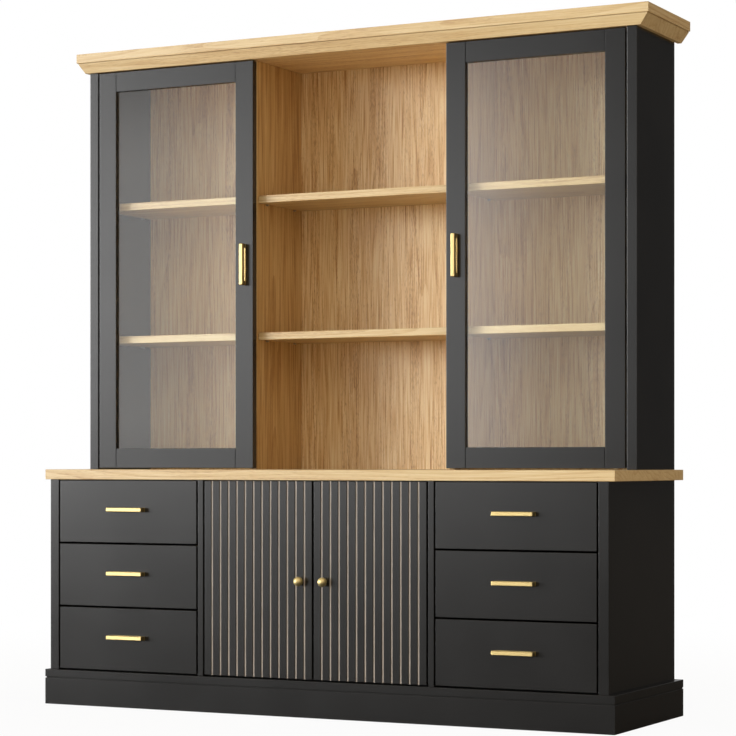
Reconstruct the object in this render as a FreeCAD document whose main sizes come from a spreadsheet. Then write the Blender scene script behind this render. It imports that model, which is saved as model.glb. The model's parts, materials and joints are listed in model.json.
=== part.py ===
import FreeCAD, Part
import os

# Kitchen hutch. X runs to the right, Y to the wall behind, Z up. The origin lies on the floor,
# under the middle of the whole, which reaches from the front of the knobs to the back of the
# counter. All sizes are in millimetres.

os.makedirs("parts", exist_ok=True)
doc = FreeCAD.newDocument("KitchenHutch")

sizes = {
    # The whole
    "overall_height": "2000",
    "counter_width": "1842",
    "cabinet_depth": "545",
    "counter_height": "710",
    "counter_thickness": "30",
    "front_setback": "2",
    "rear_setback": "24",
    # Boards
    "side_thickness": "30",
    "board_thickness": "18",
    "front_thickness": "18",
    "back_thickness": "5",
    "back_inset": "4",
    "edge_bevel": "1.2",
    "overrun": "10",
    # Plinth
    "plinth_height": "105",
    "plinth_thickness": "18",
    "plinth_cap_height": "23",
    "plinth_groove_height": "3",
    "plinth_groove_depth": "3",
    # Gaps round the fronts
    "front_gap": "5",
    "meeting_gap": "6",
    "counter_gap": "3",
    "glass_foot_gap": "4",
    "glass_head_gap": "3",
    # Rails under the counter
    "top_rail_width": "80",
    "top_rail_gap": "4",
    # Cupboard
    "groove_width": "5.5",
    "groove_depth": "4",
    "inlay_thickness": "1.8",
    "inlay_clearance": "0.1",
    "cupboard_shelf_height": "385",
    "cupboard_shelf_setback": "60",
    "catch_length": "40",
    "catch_depth": "15",
    "catch_height": "14",
    "catch_inset": "20",
    "catch_gap": "1",
    # Drawers
    "drawer_front_width": "480",
    "box_rise": "28",
    "box_head_gap": "32.7",
    "box_back_gap": "81",
    "box_board": "12",
    "box_bottom": "5",
    "box_bottom_rise": "10",
    "box_groove": "5",
    "box_groove_play": "0.2",
    "runner_space": "13",
    "runner_channel_depth": "10",
    "runner_height": "45",
    "runner_end_gap": "17",
    "runner_wall": "1.5",
    "runner_setback": "3",
    "runner_gap": "0.3",
    # Knobs, bar pulls and their screws
    "knob_diameter": "27",
    "knob_projection": "30",
    "knob_neck": "9",
    "knob_cone_share": "0.6",
    "knob_inset": "36",
    "knob_drop": "3",
    "pull_length": "124",
    "pull_height": "12.5",
    "pull_bar_depth": "12",
    "pull_projection": "22",
    "pull_leg": "12",
    "pull_rounding": "1.2",
    "pull_rise": "6",
    "screw_diameter": "4",
    "screw_hole": "4.5",
    "screw_thread_gap": "0.05",
    "screw_bite": "8",
    "screw_head": "8",
    "screw_head_height": "2.5",
    # Concealed hinges
    "cup_diameter": "35",
    "cup_depth": "11.5",
    "cup_wall": "1.2",
    "cup_inset": "22.5",
    "cup_play": "0.2",
    "flange_length": "60",
    "flange_width": "20",
    "flange_thickness": "1.5",
    "arm_width": "12",
    "arm_thickness": "8",
    "arm_length": "62",
    "nose_depth": "8",
    "hinge_gap": "0.3",
    "plate_length": "50",
    "plate_depth": "45",
    "plate_thickness": "3",
    "plate_setback": "14",
    "cupboard_hinge_inset": "80",
    "glass_hinge_inset": "110",
    # Upper unit
    "hutch_depth": "305",
    "top_thickness": "22",
    "glass_door_width": "548",
    "glass_door_thickness": "22",
    "frame_width": "60",
    "rebate_width": "8",
    "rebate_depth": "13",
    "pane_thickness": "4",
    "pane_play": "1",
    "buffer_gap": "2",
    "buffer_diameter": "8",
    "buffer_play": "0.3",
    "buffer_inset": "60",
    "shelf_thickness": "22",
    "shelf_setback": "8",
    "shelf_play": "1",
    "lower_shelf_height": "1122",
    "upper_shelf_height": "1534",
    "pin_diameter": "5",
    "pin_length": "16",
    "pin_inset": "50",
    "pin_play": "0.1",
    # Crown
    "crown_height": "60",
    "crown_fascia": "28",
    "crown_step": "2.5",
    "crown_lap": "20",
    "crown_side_overhang": "39",
    "crown_front_overhang": "17",
    "crown_side_foot": "12.5",
    "crown_front_foot": "7.5",
    # Brackets
    "bracket_thickness": "2",
    "bracket_width": "40",
    "bracket_height": "34",
    "strap_rise": "5",
    "wall_bracket_spacing": "1200",
    "wall_screw_hole": "5.5",
}

slat_count = 13
drawer_rows = ("bottom", "middle", "top")

sheet = doc.addObject("Spreadsheet::Sheet", "Sizes")
for row, (word, value) in enumerate(sizes.items(), 1):
    sheet.set(f"A{row}", word)
    sheet.set(f"B{row}", value)
    sheet.setAlias(f"B{row}", word)
doc.recompute()

# Distances from the middle of the cabinet out to the right, used mirrored for the left
counter_side = "(Sizes.counter_width / 2)"
carcass_side = f"({counter_side} - Sizes.plinth_thickness)"
wall = f"({carcass_side} - Sizes.side_thickness)"
front_outer = f"({wall} - Sizes.front_gap)"
front_inner = f"({front_outer} - Sizes.drawer_front_width)"
divider_outer = f"({front_inner} - Sizes.front_gap)"
divider_inner = f"({divider_outer} - Sizes.board_thickness)"
door_outer = f"({divider_inner} - Sizes.front_gap)"
door_inner = "(Sizes.meeting_gap / 2)"
glass_inner = f"({front_outer} - Sizes.glass_door_width)"
hutch_divider_outer = f"({glass_inner} + Sizes.board_thickness)"
back_side = f"({carcass_side} - Sizes.back_inset)"

# Distances from the origin towards the wall
reach = "(max(Sizes.pull_projection; Sizes.knob_projection) - Sizes.front_setback)"
cabinet_back = f"((Sizes.cabinet_depth + {reach}) / 2)"
counter_front = f"({cabinet_back} - Sizes.cabinet_depth)"
plinth_inner = f"({counter_front} + Sizes.plinth_thickness)"
base_front = f"({counter_front} + Sizes.front_setback)"
door_back = f"({base_front} + Sizes.front_thickness)"
carcass_back = f"({cabinet_back} - Sizes.rear_setback)"
panel_back = f"({carcass_back} + Sizes.back_thickness)"
hutch_front = f"({carcass_back} - Sizes.hutch_depth)"
glass_back = f"({hutch_front} + Sizes.glass_door_thickness)"
rebate_front = f"({glass_back} - Sizes.rebate_depth)"
hutch_divider_front = f"({glass_back} + Sizes.buffer_gap)"
shelf_front = f"({hutch_divider_front} + Sizes.shelf_setback)"
shelf_back = f"({carcass_back} - Sizes.shelf_play)"
cupboard_shelf_front = f"({base_front} + Sizes.cupboard_shelf_setback)"

# Heights above the floor
counter_under = "(Sizes.counter_height - Sizes.counter_thickness)"
rail_under = f"({counter_under} - Sizes.board_thickness)"
front_low = "(Sizes.plinth_height + Sizes.front_gap)"
front_high = f"({counter_under} - Sizes.counter_gap)"
crown_low = "(Sizes.overall_height - Sizes.crown_height)"
top_panel_top = f"({crown_low} + Sizes.top_thickness)"
glass_low = "(Sizes.counter_height + Sizes.glass_foot_gap)"
glass_high = f"({crown_low} - Sizes.glass_head_gap)"

# Sizes that follow from these
door_width = f"({door_outer} - {door_inner})"
door_height = f"({front_high} - {front_low})"
slat_width = f"(({door_width} - {slat_count - 1} * Sizes.groove_width) / {slat_count})"
slat_pitch = f"({slat_width} + Sizes.groove_width)"
drawer_gaps = f"({len(drawer_rows) - 1} * Sizes.front_gap)"
drawer_height = f"(({door_height} - {drawer_gaps}) / {len(drawer_rows)})"
box_height = f"({drawer_height} - Sizes.box_rise - Sizes.box_head_gap)"
box_back = f"({carcass_back} - Sizes.box_back_gap)"
glass_height = f"({glass_high} - {glass_low})"

both_sides = (("left", -1), ("right", 1))
along_y = FreeCAD.Rotation(FreeCAD.Vector(1, 0, 0), -90)
against_y = FreeCAD.Rotation(FreeCAD.Vector(1, 0, 0), 90)
along_x = FreeCAD.Rotation(FreeCAD.Vector(0, 1, 0), 90)
upright = FreeCAD.Rotation(FreeCAD.Vector(0, 1, 0), -90)


def number(rule):
    """Value of a rule in the sheet's sizes, for the pieces that a formula here shapes."""
    return float(sheet.evalExpression(rule))


def across(way, near, far):
    """Span in X of something between two distances from the middle, on the side of way."""
    if way > 0:
        return near, far
    return f"-({far})", f"-({near})"


def centred(half):
    """Span of a piece that reaches as far to the left as to the right."""
    return f"-({half})", half


def put(piece, x, y, z):
    """Binds the piece's place to three rules."""
    for axis, rule in zip("xyz", (x, y, z)):
        piece.setExpression(f"Placement.Base.{axis}", rule)
    return piece


def stretch(piece, x, y, z):
    """Binds a box's three sides to the spans."""
    for side, (low, high) in zip(("Length", "Width", "Height"), (x, y, z)):
        piece.setExpression(side, f"({high}) - ({low})")
    return piece


def board(name, x, y, z):
    """Plain square-edged block between the spans."""
    piece = stretch(doc.addObject("Part::Box", name), x, y, z)
    return put(piece, x[0], y[0], z[0])


def rod(name, radius, length, x, y, z, turn):
    """Round bar from its start, along the way that turn gives."""
    piece = doc.addObject("Part::Cylinder", name)
    piece.setExpression("Radius", radius)
    piece.setExpression("Height", length)
    piece.Placement.Rotation = turn
    return put(piece, x, y, z)


def joined(name, pieces):
    """One solid out of blocks that meet."""
    whole = doc.addObject("Part::MultiFuse", name)
    whole.Shapes = pieces
    whole.Refine = True
    return whole


def cut(name, base, tools):
    """The base with every tool taken away."""
    tool = tools[0]
    if len(tools) > 1:
        tool = doc.addObject("Part::Compound", f"{name}_tools")
        tool.Links = tools
    whole = doc.addObject("Part::Cut", name)
    whole.Base = base
    whole.Tool = tool
    return whole


def eased_board(name, x, y, z):
    """Board with all its edges slightly bevelled, as a body that can take cuts."""
    body = doc.addObject("PartDesign::Body", name)
    slab = stretch(body.newObject("PartDesign::AdditiveBox", f"{name}_slab"), x, y, z)
    put(body, x[0], y[0], z[0])
    doc.recompute()
    bevel = body.newObject("PartDesign::Chamfer", f"{name}_bevel")
    bevel.Base = (slab, [""])
    bevel.UseAllEdges = True
    bevel.setExpression("Size", "Sizes.edge_bevel")
    doc.recompute()
    return body


def pocket(body, name, x, y, z):
    """Square recess in a body, between spans measured from the body's corner."""
    tool = stretch(body.newObject("PartDesign::SubtractiveBox", name), x, y, z)
    put(tool, x[0], y[0], z[0])
    doc.recompute()
    return tool


def bore(body, name, diameter, depth, x, y, z, turn):
    """Round hole in a body, from its mouth, at a place measured from the body's corner."""
    tool = body.newObject("PartDesign::SubtractiveCylinder", name)
    tool.setExpression("Radius", f"({diameter}) / 2")
    tool.setExpression("Height", depth)
    tool.Placement.Rotation = turn
    put(tool, x, y, z)
    doc.recompute()
    return tool


nodes = {}


def node(name, pieces):
    """Keeps one piece, or a group of separate pieces, under the name of its file."""
    whole = pieces[0]
    if len(pieces) > 1:
        whole = doc.addObject("Part::Compound", name)
        whole.Links = pieces
    whole.Label = name
    nodes[name] = whole


# Mitred mouldings

def outline_front(half_width, front_line, lap, side_out, front_out):
    """Plan of the front moulding: a strip whose ends run in at 45 degrees."""
    x = half_width + side_out
    y = front_line - front_out
    back = front_line + lap
    tail = x - (back - y)
    return [(-x, y), (x, y), (tail, back), (-tail, back)]


def outline_side(half_width, front_line, lap, side_out, front_out, end):
    """Plan of the right side moulding, from the mitre to its square end at the wall."""
    x = half_width + side_out
    y = front_line - front_out
    inner = half_width - lap
    return [(x, y), (x, end), (inner, end), (inner, y + x - inner)]


def layered(levels, outline):
    """Stacks ruled layers between the plans at each pair of levels of different height."""
    layers = []
    for (low, *below), (high, *above) in zip(levels, levels[1:]):
        if high > low:
            rings = []
            for height, outs in ((low, below), (high, above)):
                corners = [FreeCAD.Vector(x, y, height) for x, y in outline(*outs)]
                rings.append(Part.makePolygon(corners + corners[:1]))
            layers.append(Part.makeLoft(rings, True, True))
    return layers[0].multiFuse(layers[1:]).removeSplitter()


def shaped(name, shape):
    """Piece whose shape a formula above makes."""
    piece = doc.addObject("Part::Feature", name)
    piece.Shape = shape
    piece.Placement = FreeCAD.Placement()
    return piece


def mirrored(shape):
    return shape.mirror(FreeCAD.Vector(0, 0, 0), FreeCAD.Vector(1, 0, 0))


def plinth_boards():
    """Front and side boards: a main face, a small groove and a cap, with bevelled edges."""
    top = number("Sizes.plinth_height")
    groove_top = top - number("Sizes.plinth_cap_height")
    groove_low = groove_top - number("Sizes.plinth_groove_height")
    groove = -number("Sizes.plinth_groove_depth")
    bevel = number("Sizes.edge_bevel")
    lap = number("Sizes.plinth_thickness")
    half = number(counter_side)
    line = number(counter_front)
    end = number(cabinet_back)
    levels = [
        (0, 0, 0),
        (groove_low - bevel, 0, 0),
        (groove_low, -bevel, -bevel),
        (groove_low, groove, groove),
        (groove_top, groove, groove),
        (groove_top, -bevel, -bevel),
        (groove_top + bevel, 0, 0),
        (top - bevel, 0, 0),
        (top, -bevel, -bevel),
    ]
    front = layered(levels, lambda s, f: outline_front(half, line, lap, s, f))
    side = layered(levels, lambda s, f: outline_side(half, line, lap, s, f, end))
    node("plinth_front", [shaped("plinth_front", front)])
    node("plinth_sides", [
        shaped("plinth_side_left", mirrored(side)),
        shaped("plinth_side_right", side),
    ])


def crown_boards():
    """Mouldings hooked over the top panel: a bevel that runs out to a fascia with a step."""
    top = number("Sizes.overall_height")
    low = number(crown_low)
    fascia = top - number("Sizes.crown_fascia")
    step = number("Sizes.crown_step")
    bevel = number("Sizes.edge_bevel")
    lap = number("Sizes.crown_lap")
    side_out = number("Sizes.crown_side_overhang")
    front_out = number("Sizes.crown_front_overhang")
    half = number(carcass_side)
    line = number(hutch_front)
    end = number(cabinet_back)
    levels = [
        (low, number("Sizes.crown_side_foot"), number("Sizes.crown_front_foot")),
        (fascia, side_out - step, front_out - step),
        (fascia, side_out - bevel, front_out - bevel),
        (fascia + bevel, side_out, front_out),
        (top - bevel, side_out, front_out),
        (top, side_out - bevel, front_out - bevel),
    ]
    panel_corner = FreeCAD.Vector(-half, line, low)
    panel = Part.makeBox(2 * half, end - line, number("Sizes.top_thickness"), panel_corner)
    front = layered(levels, lambda s, f: outline_front(half, line, lap, s, f)).cut(panel)
    side = layered(levels, lambda s, f: outline_side(half, line, lap, s, f, end)).cut(panel)
    node("crown_front", [shaped("crown_front", front)])
    node("crown_sides", [
        shaped("crown_side_left", mirrored(side)),
        shaped("crown_side_right", side),
    ])


# Hardware

def screw(name, x, z, front, through):
    """Machine screw from inside: its shank passes the boards and bites into the handle."""
    shank = rod(f"{name}_shank", "Sizes.screw_diameter / 2", f"Sizes.screw_bite + {through}",
                x, f"{front} - Sizes.screw_bite", z, along_y)
    head = rod(f"{name}_head", "Sizes.screw_head / 2", "Sizes.screw_head_height",
               x, f"{front} + {through}", z, along_y)
    return joined(name, [shank, head])


def bar_pull(name, x, z, front, through, vertical):
    """Square brass bar on two legs, with a tapped hole up each leg and a screw in it."""
    body = doc.addObject("PartDesign::Body", f"{name}_bar")
    length = ("0", "Sizes.pull_length")
    depth = ("0", "Sizes.pull_projection")
    height = ("0", "Sizes.pull_height")
    stretch(body.newObject("PartDesign::AdditiveBox", f"{name}_block"), length, depth, height)
    doc.recompute()
    gap = pocket(body, f"{name}_gap",
                 ("Sizes.pull_leg", "Sizes.pull_length - Sizes.pull_leg"),
                 ("Sizes.pull_bar_depth", "Sizes.pull_projection + Sizes.overrun"),
                 ("-Sizes.overrun", "Sizes.pull_height + Sizes.overrun"))
    rounding = body.newObject("PartDesign::Fillet", f"{name}_rounding")
    rounding.Base = (gap, [""])
    rounding.UseAllEdges = True
    rounding.setExpression("Radius", "Sizes.pull_rounding")
    doc.recompute()
    half_leg = "Sizes.pull_leg / 2"
    pieces = [body]
    for end, place in (("first", half_leg), ("second", f"Sizes.pull_length - {half_leg}")):
        bore(body, f"{name}_{end}_thread", "Sizes.screw_diameter + 2 * Sizes.screw_thread_gap",
             "Sizes.screw_bite + Sizes.screw_thread_gap",
             place, "Sizes.pull_projection", "Sizes.pull_height / 2", against_y)
        offset = f"{place} - Sizes.pull_length / 2"
        if vertical:
            pieces.append(screw(f"{name}_{end}_screw", x, f"{z} + {offset}", front, through))
        else:
            pieces.append(screw(f"{name}_{end}_screw", f"{x} + {offset}", z, front, through))
    if vertical:
        body.Placement.Rotation = upright
        put(body, f"{x} + Sizes.pull_height / 2", f"{front} - Sizes.pull_projection",
            f"{z} - Sizes.pull_length / 2")
    else:
        put(body, f"{x} - Sizes.pull_length / 2", f"{front} - Sizes.pull_projection",
            f"{z} - Sizes.pull_height / 2")
    node(name, pieces)


def round_knob(name, x, z):
    """Ball on a cone that widens from the door to the ball, drilled for its screw."""
    radius = "(Sizes.knob_diameter / 2)"
    cone_top = f"({radius} * sqrt(1 - Sizes.knob_cone_share ^ 2))"
    ball_depth = f"(Sizes.knob_projection - {radius})"
    ball = doc.addObject("Part::Sphere", f"{name}_ball")
    ball.setExpression("Radius", radius)
    put(ball, x, f"{base_front} - {ball_depth}", z)
    cone = doc.addObject("Part::Cone", f"{name}_cone")
    cone.setExpression("Radius1", "Sizes.knob_neck / 2")
    cone.setExpression("Radius2", cone_top)
    cone.setExpression("Height", f"{ball_depth} - Sizes.knob_cone_share * {radius}")
    cone.Placement.Rotation = against_y
    put(cone, x, base_front, z)
    thread = rod(f"{name}_thread", "Sizes.screw_diameter / 2 + Sizes.screw_thread_gap",
                 "Sizes.screw_bite + Sizes.screw_thread_gap", x, base_front, z, against_y)
    head = cut(f"{name}_head", joined(f"{name}_blank", [ball, cone]), [thread])
    fixing = screw(f"{name}_screw", x, z, base_front, "Sizes.front_thickness")
    node(name, [head, fixing])


def hinge_arm(name, way, face, back, height):
    """Fixed half of a hinge: a plate on the panel, an arm on it and a nose behind the cup."""
    def block(part, near, far, start, length, tall):
        x = across(way, f"{face} - ({far})", f"{face} - ({near})")
        y = (f"{back} + {start}", f"{back} + {start} + {length}")
        z = (f"{height} - {tall} / 2", f"{height} + {tall} / 2")
        return board(f"{name}_{part}", x, y, z)

    arm_face = "Sizes.plate_thickness + Sizes.arm_thickness"
    nose_start = "Sizes.flange_thickness + Sizes.hinge_gap"
    plate = block("plate", "0", "Sizes.plate_thickness", "Sizes.plate_setback",
                  "Sizes.plate_depth", "Sizes.plate_length")
    arm = block("arm", "0", arm_face, nose_start, "Sizes.arm_length", "Sizes.arm_width")
    nose = block("nose", "0", "Sizes.front_gap + Sizes.cup_inset", nose_start,
                 "Sizes.nose_depth", "Sizes.arm_width")
    return joined(name, [plate, arm, nose])


def hinge_cup(name, x, back, height):
    """Pressed cup let into the door's back, hollow, under a flange screwed to the door."""
    outer = rod(f"{name}_outer", "Sizes.cup_diameter / 2", "Sizes.cup_depth",
                x, back, height, against_y)
    half_flange = ("Sizes.flange_width / 2", "Sizes.flange_length / 2")
    flange = board(f"{name}_flange",
                   (f"{x} - {half_flange[0]}", f"{x} + {half_flange[0]}"),
                   (back, f"{back} + Sizes.flange_thickness"),
                   (f"{height} - {half_flange[1]}", f"{height} + {half_flange[1]}"))
    rim = rod(f"{name}_rim", "Sizes.cup_diameter / 2 + Sizes.cup_wall",
              "Sizes.flange_thickness", x, back, height, along_y)
    hollow = rod(f"{name}_hollow", "Sizes.cup_diameter / 2 - Sizes.cup_wall",
                 "Sizes.cup_depth - Sizes.cup_wall + Sizes.overrun",
                 x, f"{back} + Sizes.overrun", height, against_y)
    return cut(name, joined(f"{name}_blank", [outer, flange, rim]), [hollow])


def angle_bracket(name, x):
    """Steel angle that ties the back of the upper unit down to the counter."""
    span = (f"{x} - Sizes.bracket_width / 2", f"{x} + Sizes.bracket_width / 2")
    upright_leg = board(f"{name}_upright", span,
                        (panel_back, f"{panel_back} + Sizes.bracket_thickness"),
                        ("Sizes.counter_height", "Sizes.counter_height + Sizes.bracket_height"))
    foot = board(f"{name}_foot", span, (panel_back, f"{cabinet_back} - Sizes.edge_bevel"),
                 ("Sizes.counter_height", "Sizes.counter_height + Sizes.bracket_thickness"))
    return joined(name, [upright_leg, foot])


def wall_bracket(name, x):
    """Z-shaped strap from the crown's back rail to the wall, with a hole for a wall screw."""
    span = (f"{x} - Sizes.bracket_width / 2", f"{x} + Sizes.bracket_width / 2")
    top = f"({top_panel_top} + Sizes.bracket_height)"
    web = f"({top_panel_top} + Sizes.strap_rise)"
    rail_leg = board(f"{name}_rail_leg", span,
                     (carcass_back, f"{carcass_back} + Sizes.bracket_thickness"), (web, top))
    bridge = board(f"{name}_bridge", span, (carcass_back, cabinet_back),
                   (web, f"{web} + Sizes.bracket_thickness"))
    wall_leg = board(f"{name}_wall_leg", span,
                     (f"{cabinet_back} - Sizes.bracket_thickness", cabinet_back), (web, top))
    hole = rod(f"{name}_hole", "Sizes.wall_screw_hole / 2",
               "Sizes.bracket_thickness + Sizes.overrun",
               x, f"{cabinet_back} - Sizes.bracket_thickness - Sizes.overrun / 2",
               f"({web} + {top}) / 2", along_y)
    return cut(name, joined(f"{name}_blank", [rail_leg, bridge, wall_leg]), [hole])


# Base unit

def base_carcass():
    """Panels between the plinth and the counter, and the rails that stiffen them."""
    depth = (base_front, carcass_back)
    sides = []
    for side, way in both_sides:
        panel = eased_board(f"base_side_{side}", across(way, wall, carcass_side), depth,
                            ("0", counter_under))
        pocket(panel, f"base_side_{side}_notch",
               ("-Sizes.overrun", "Sizes.side_thickness + Sizes.overrun"),
               ("-Sizes.overrun", "Sizes.plinth_thickness - Sizes.front_setback"),
               ("-Sizes.overrun", "Sizes.plinth_height"))
        sides.append(panel)
    node("base_sides", sides)
    node("base_bottom", [board("base_bottom", centred(wall), (plinth_inner, carcass_back),
                               ("Sizes.plinth_height - Sizes.board_thickness",
                                "Sizes.plinth_height"))])
    node("base_back", [board("base_back", centred(back_side), (carcass_back, panel_back),
                             ("Sizes.plinth_height - Sizes.board_thickness", counter_under))])
    under = (rail_under, counter_under)
    rail_start = f"{door_back} + Sizes.top_rail_gap"
    rail_rows = {
        "front": (rail_start, f"{rail_start} + Sizes.top_rail_width"),
        "back": (f"{carcass_back} - Sizes.top_rail_width", carcass_back),
    }
    rail_bays = {
        "left": across(-1, divider_outer, wall),
        "middle": centred(divider_inner),
        "right": across(1, divider_outer, wall),
    }
    node("base_top_rails", [board(f"top_rail_{bay}_{row}", x, y, under)
                            for bay, x in rail_bays.items() for row, y in rail_rows.items()])
    back_board = board("plinth_back", centred(carcass_side),
                       (f"{cabinet_back} - Sizes.board_thickness", cabinet_back),
                       ("0", "Sizes.plinth_height"))
    bearers = [board(f"plinth_bearer_{side}", across(way, divider_inner, divider_outer),
                     (plinth_inner, f"{cabinet_back} - Sizes.board_thickness"),
                     ("0", "Sizes.plinth_height - Sizes.board_thickness"))
               for side, way in both_sides]
    node("plinth_rails", [back_board] + bearers)
    node("countertop", [eased_board("countertop", centred(counter_side),
                                    (counter_front, cabinet_back),
                                    (counter_under, "Sizes.counter_height"))])


def pins_and_holes(bay, near, far, front, back, tops, thickness):
    """Four pins under each shelf, and the holes for them in the panels at both ends."""
    pins = []
    holes = {"near": [], "far": []}
    radius = "Sizes.pin_diameter / 2"
    half = "Sizes.pin_length / 2"
    rows = (("front", f"{front} + Sizes.pin_inset"), ("back", f"{back} - Sizes.pin_inset"))
    ends = (("near", near, f"{near} - {half}", f"{near} - {half} - Sizes.pin_play"),
            ("far", far, f"{far} - {half}", far))
    for level, top in tops.items():
        height = f"{top} - {thickness} - {radius}"
        for row, depth in rows:
            for end, face, start, hole_start in ends:
                name = f"{bay}_{level}_{row}_{end}"
                pins.append(rod(f"{name}_pin", radius, "Sizes.pin_length",
                                start, depth, height, along_x))
                holes[end].append(rod(f"{name}_hole", f"{radius} + Sizes.pin_play",
                                      f"{half} + Sizes.pin_play", hole_start, depth, height,
                                      along_x))
    return pins, holes


def shelves_and_panels():
    """Shelves of all bays, the pins that carry them and the drilled panels between."""
    hutch_tops = {"lower": "Sizes.lower_shelf_height", "upper": "Sizes.upper_shelf_height"}
    hutch_bays = {
        "left": across(-1, hutch_divider_outer, wall),
        "middle": centred(glass_inner),
        "right": across(1, hutch_divider_outer, wall),
    }
    pins = []
    drilled = {}
    shelves = {}
    for bay, (near, far) in hutch_bays.items():
        bay_pins, holes = pins_and_holes(bay, near, far, shelf_front, shelf_back,
                                         hutch_tops, "Sizes.shelf_thickness")
        pins += bay_pins
        drilled[bay] = holes
        span = (f"{near} + Sizes.shelf_play", f"{far} - Sizes.shelf_play")
        shelves[bay] = [eased_board(f"shelf_{bay}_{level}", span, (shelf_front, shelf_back),
                                    (f"{top} - Sizes.shelf_thickness", top))
                        for level, top in hutch_tops.items()]
    node("side_bay_shelves", shelves["left"] + shelves["right"])
    node("centre_bay_shelves", shelves["middle"])

    height = ("Sizes.counter_height", crown_low)
    side_depth = (hutch_front, carcass_back)
    divider_depth = (hutch_divider_front, carcass_back)
    left_side = eased_board("hutch_side_left_blank", across(-1, wall, carcass_side),
                            side_depth, height)
    right_side = eased_board("hutch_side_right_blank", across(1, wall, carcass_side),
                             side_depth, height)
    left_divider = eased_board("hutch_divider_left_blank",
                               across(-1, glass_inner, hutch_divider_outer),
                               divider_depth, height)
    right_divider = eased_board("hutch_divider_right_blank",
                                across(1, glass_inner, hutch_divider_outer),
                                divider_depth, height)
    node("hutch_sides", [
        cut("hutch_side_left", left_side, drilled["left"]["near"]),
        cut("hutch_side_right", right_side, drilled["right"]["far"]),
    ])
    node("hutch_dividers", [
        cut("hutch_divider_left", left_divider,
            drilled["left"]["far"] + drilled["middle"]["near"]),
        cut("hutch_divider_right", right_divider,
            drilled["middle"]["far"] + drilled["right"]["near"]),
    ])

    near, far = centred(divider_inner)
    shelf_top = {"only": "Sizes.cupboard_shelf_height"}
    base_pins, holes = pins_and_holes("cupboard", near, far, cupboard_shelf_front,
                                      shelf_back, shelf_top, "Sizes.board_thickness")
    base_height = ("Sizes.plinth_height", counter_under)
    base_depth = (base_front, carcass_back)
    dividers = []
    for (side, way), end in zip(both_sides, ("near", "far")):
        blank = eased_board(f"base_divider_{side}_blank",
                            across(way, divider_inner, divider_outer), base_depth, base_height)
        dividers.append(cut(f"base_divider_{side}", blank, holes[end]))
    node("base_dividers", dividers)
    span = (f"{near} + Sizes.shelf_play", f"{far} - Sizes.shelf_play")
    node("cupboard_shelf", [board("cupboard_shelf", span, (cupboard_shelf_front, shelf_back),
                                  ("Sizes.cupboard_shelf_height - Sizes.board_thickness",
                                   "Sizes.cupboard_shelf_height"))])
    node("shelf_pins", pins + base_pins)


def cupboard_door(side, way):
    """Slab with upright grooves, a pale strip at the bottom of each, and its cup bores."""
    name = f"{side}_cupboard_door"
    x = across(way, door_inner, door_outer)
    body = eased_board(f"{name}_panel", x, (base_front, door_back), (front_low, front_high))
    if way > 0:
        cup_place = f"{door_width} - Sizes.cup_inset"
        knob_place = "Sizes.knob_inset"
    else:
        cup_place = "Sizes.cup_inset"
        knob_place = f"{door_width} - Sizes.knob_inset"
    knob_height = f"({front_low} + {door_height} / 2 - Sizes.knob_drop)"
    cup_heights = (f"({front_low} + Sizes.cupboard_hinge_inset)",
                   f"({front_high} - Sizes.cupboard_hinge_inset)")
    cups = []
    for count, height in enumerate(cup_heights, 1):
        bore(body, f"{name}_cup_bore_{count}", "Sizes.cup_diameter + Sizes.cup_play",
             "Sizes.cup_depth + Sizes.cup_play", cup_place, "Sizes.front_thickness",
             f"{height} - {front_low}", against_y)
        cups.append(hinge_cup(f"{name}_cup_{count}", f"{x[0]} + {cup_place}", door_back, height))
    bore(body, f"{name}_screw_hole", "Sizes.screw_hole", "Sizes.front_thickness",
         knob_place, "Sizes.front_thickness", f"{knob_height} - {front_low}", against_y)
    groove = pocket(body, f"{name}_groove", (slat_width, slat_pitch),
                    ("-Sizes.overrun", "Sizes.groove_depth"),
                    ("-Sizes.overrun", f"{door_height} + Sizes.overrun"))
    grooves = body.newObject("PartDesign::LinearPattern", f"{name}_grooves")
    grooves.Originals = [groove]
    x_axis = next(line for line in body.Origin.OriginFeatures if line.Role == "X_Axis")
    grooves.Direction = (x_axis, [""])
    grooves.Mode = "Spacing"
    grooves.Occurrences = slat_count - 1
    grooves.setExpression("Offset", slat_pitch)
    body.Tip = grooves
    node(f"{name}_panel", [body])

    floor = f"({base_front} + Sizes.groove_depth)"
    strips = []
    for count in range(slat_count - 1):
        start = f"{x[0]} + {slat_width} + {count} * {slat_pitch}"
        strips.append(board(f"{name}_inlay_{count + 1}",
                            (f"{start} + Sizes.inlay_clearance",
                             f"{start} + Sizes.groove_width - Sizes.inlay_clearance"),
                            (f"{floor} - Sizes.inlay_thickness", floor),
                            (front_low, front_high)))
    node(f"{name}_inlays", strips)
    round_knob(f"{name}_knob", f"{x[0]} + {knob_place}", knob_height)
    node(f"{name}_hinge_cups", cups)
    return [hinge_arm(f"{name}_arm_{count}", way, divider_inner, door_back, height)
            for count, height in enumerate(cup_heights, 1)]


def runner_height(low):
    return f"({low} + Sizes.box_rise + {box_height} / 2)"


def runner_channel(name, x_back, x_mouth, low):
    """Fixed C-shaped channel on a panel, its mouth towards the drawer."""
    y = (f"{door_back} + Sizes.runner_setback", f"{box_back} - Sizes.runner_end_gap")
    middle = runner_height(low)
    half = "Sizes.runner_height / 2"
    hollow_half = f"({half} - Sizes.runner_wall)"
    solid = board(f"{name}_solid", x_back, y, (f"{middle} - {half}", f"{middle} + {half}"))
    hollow = board(f"{name}_hollow", x_mouth,
                   (f"{y[0]} - Sizes.overrun", f"{y[1]} + Sizes.overrun"),
                   (f"{middle} - {hollow_half}", f"{middle} + {hollow_half}"))
    return cut(name, solid, [hollow])


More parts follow.
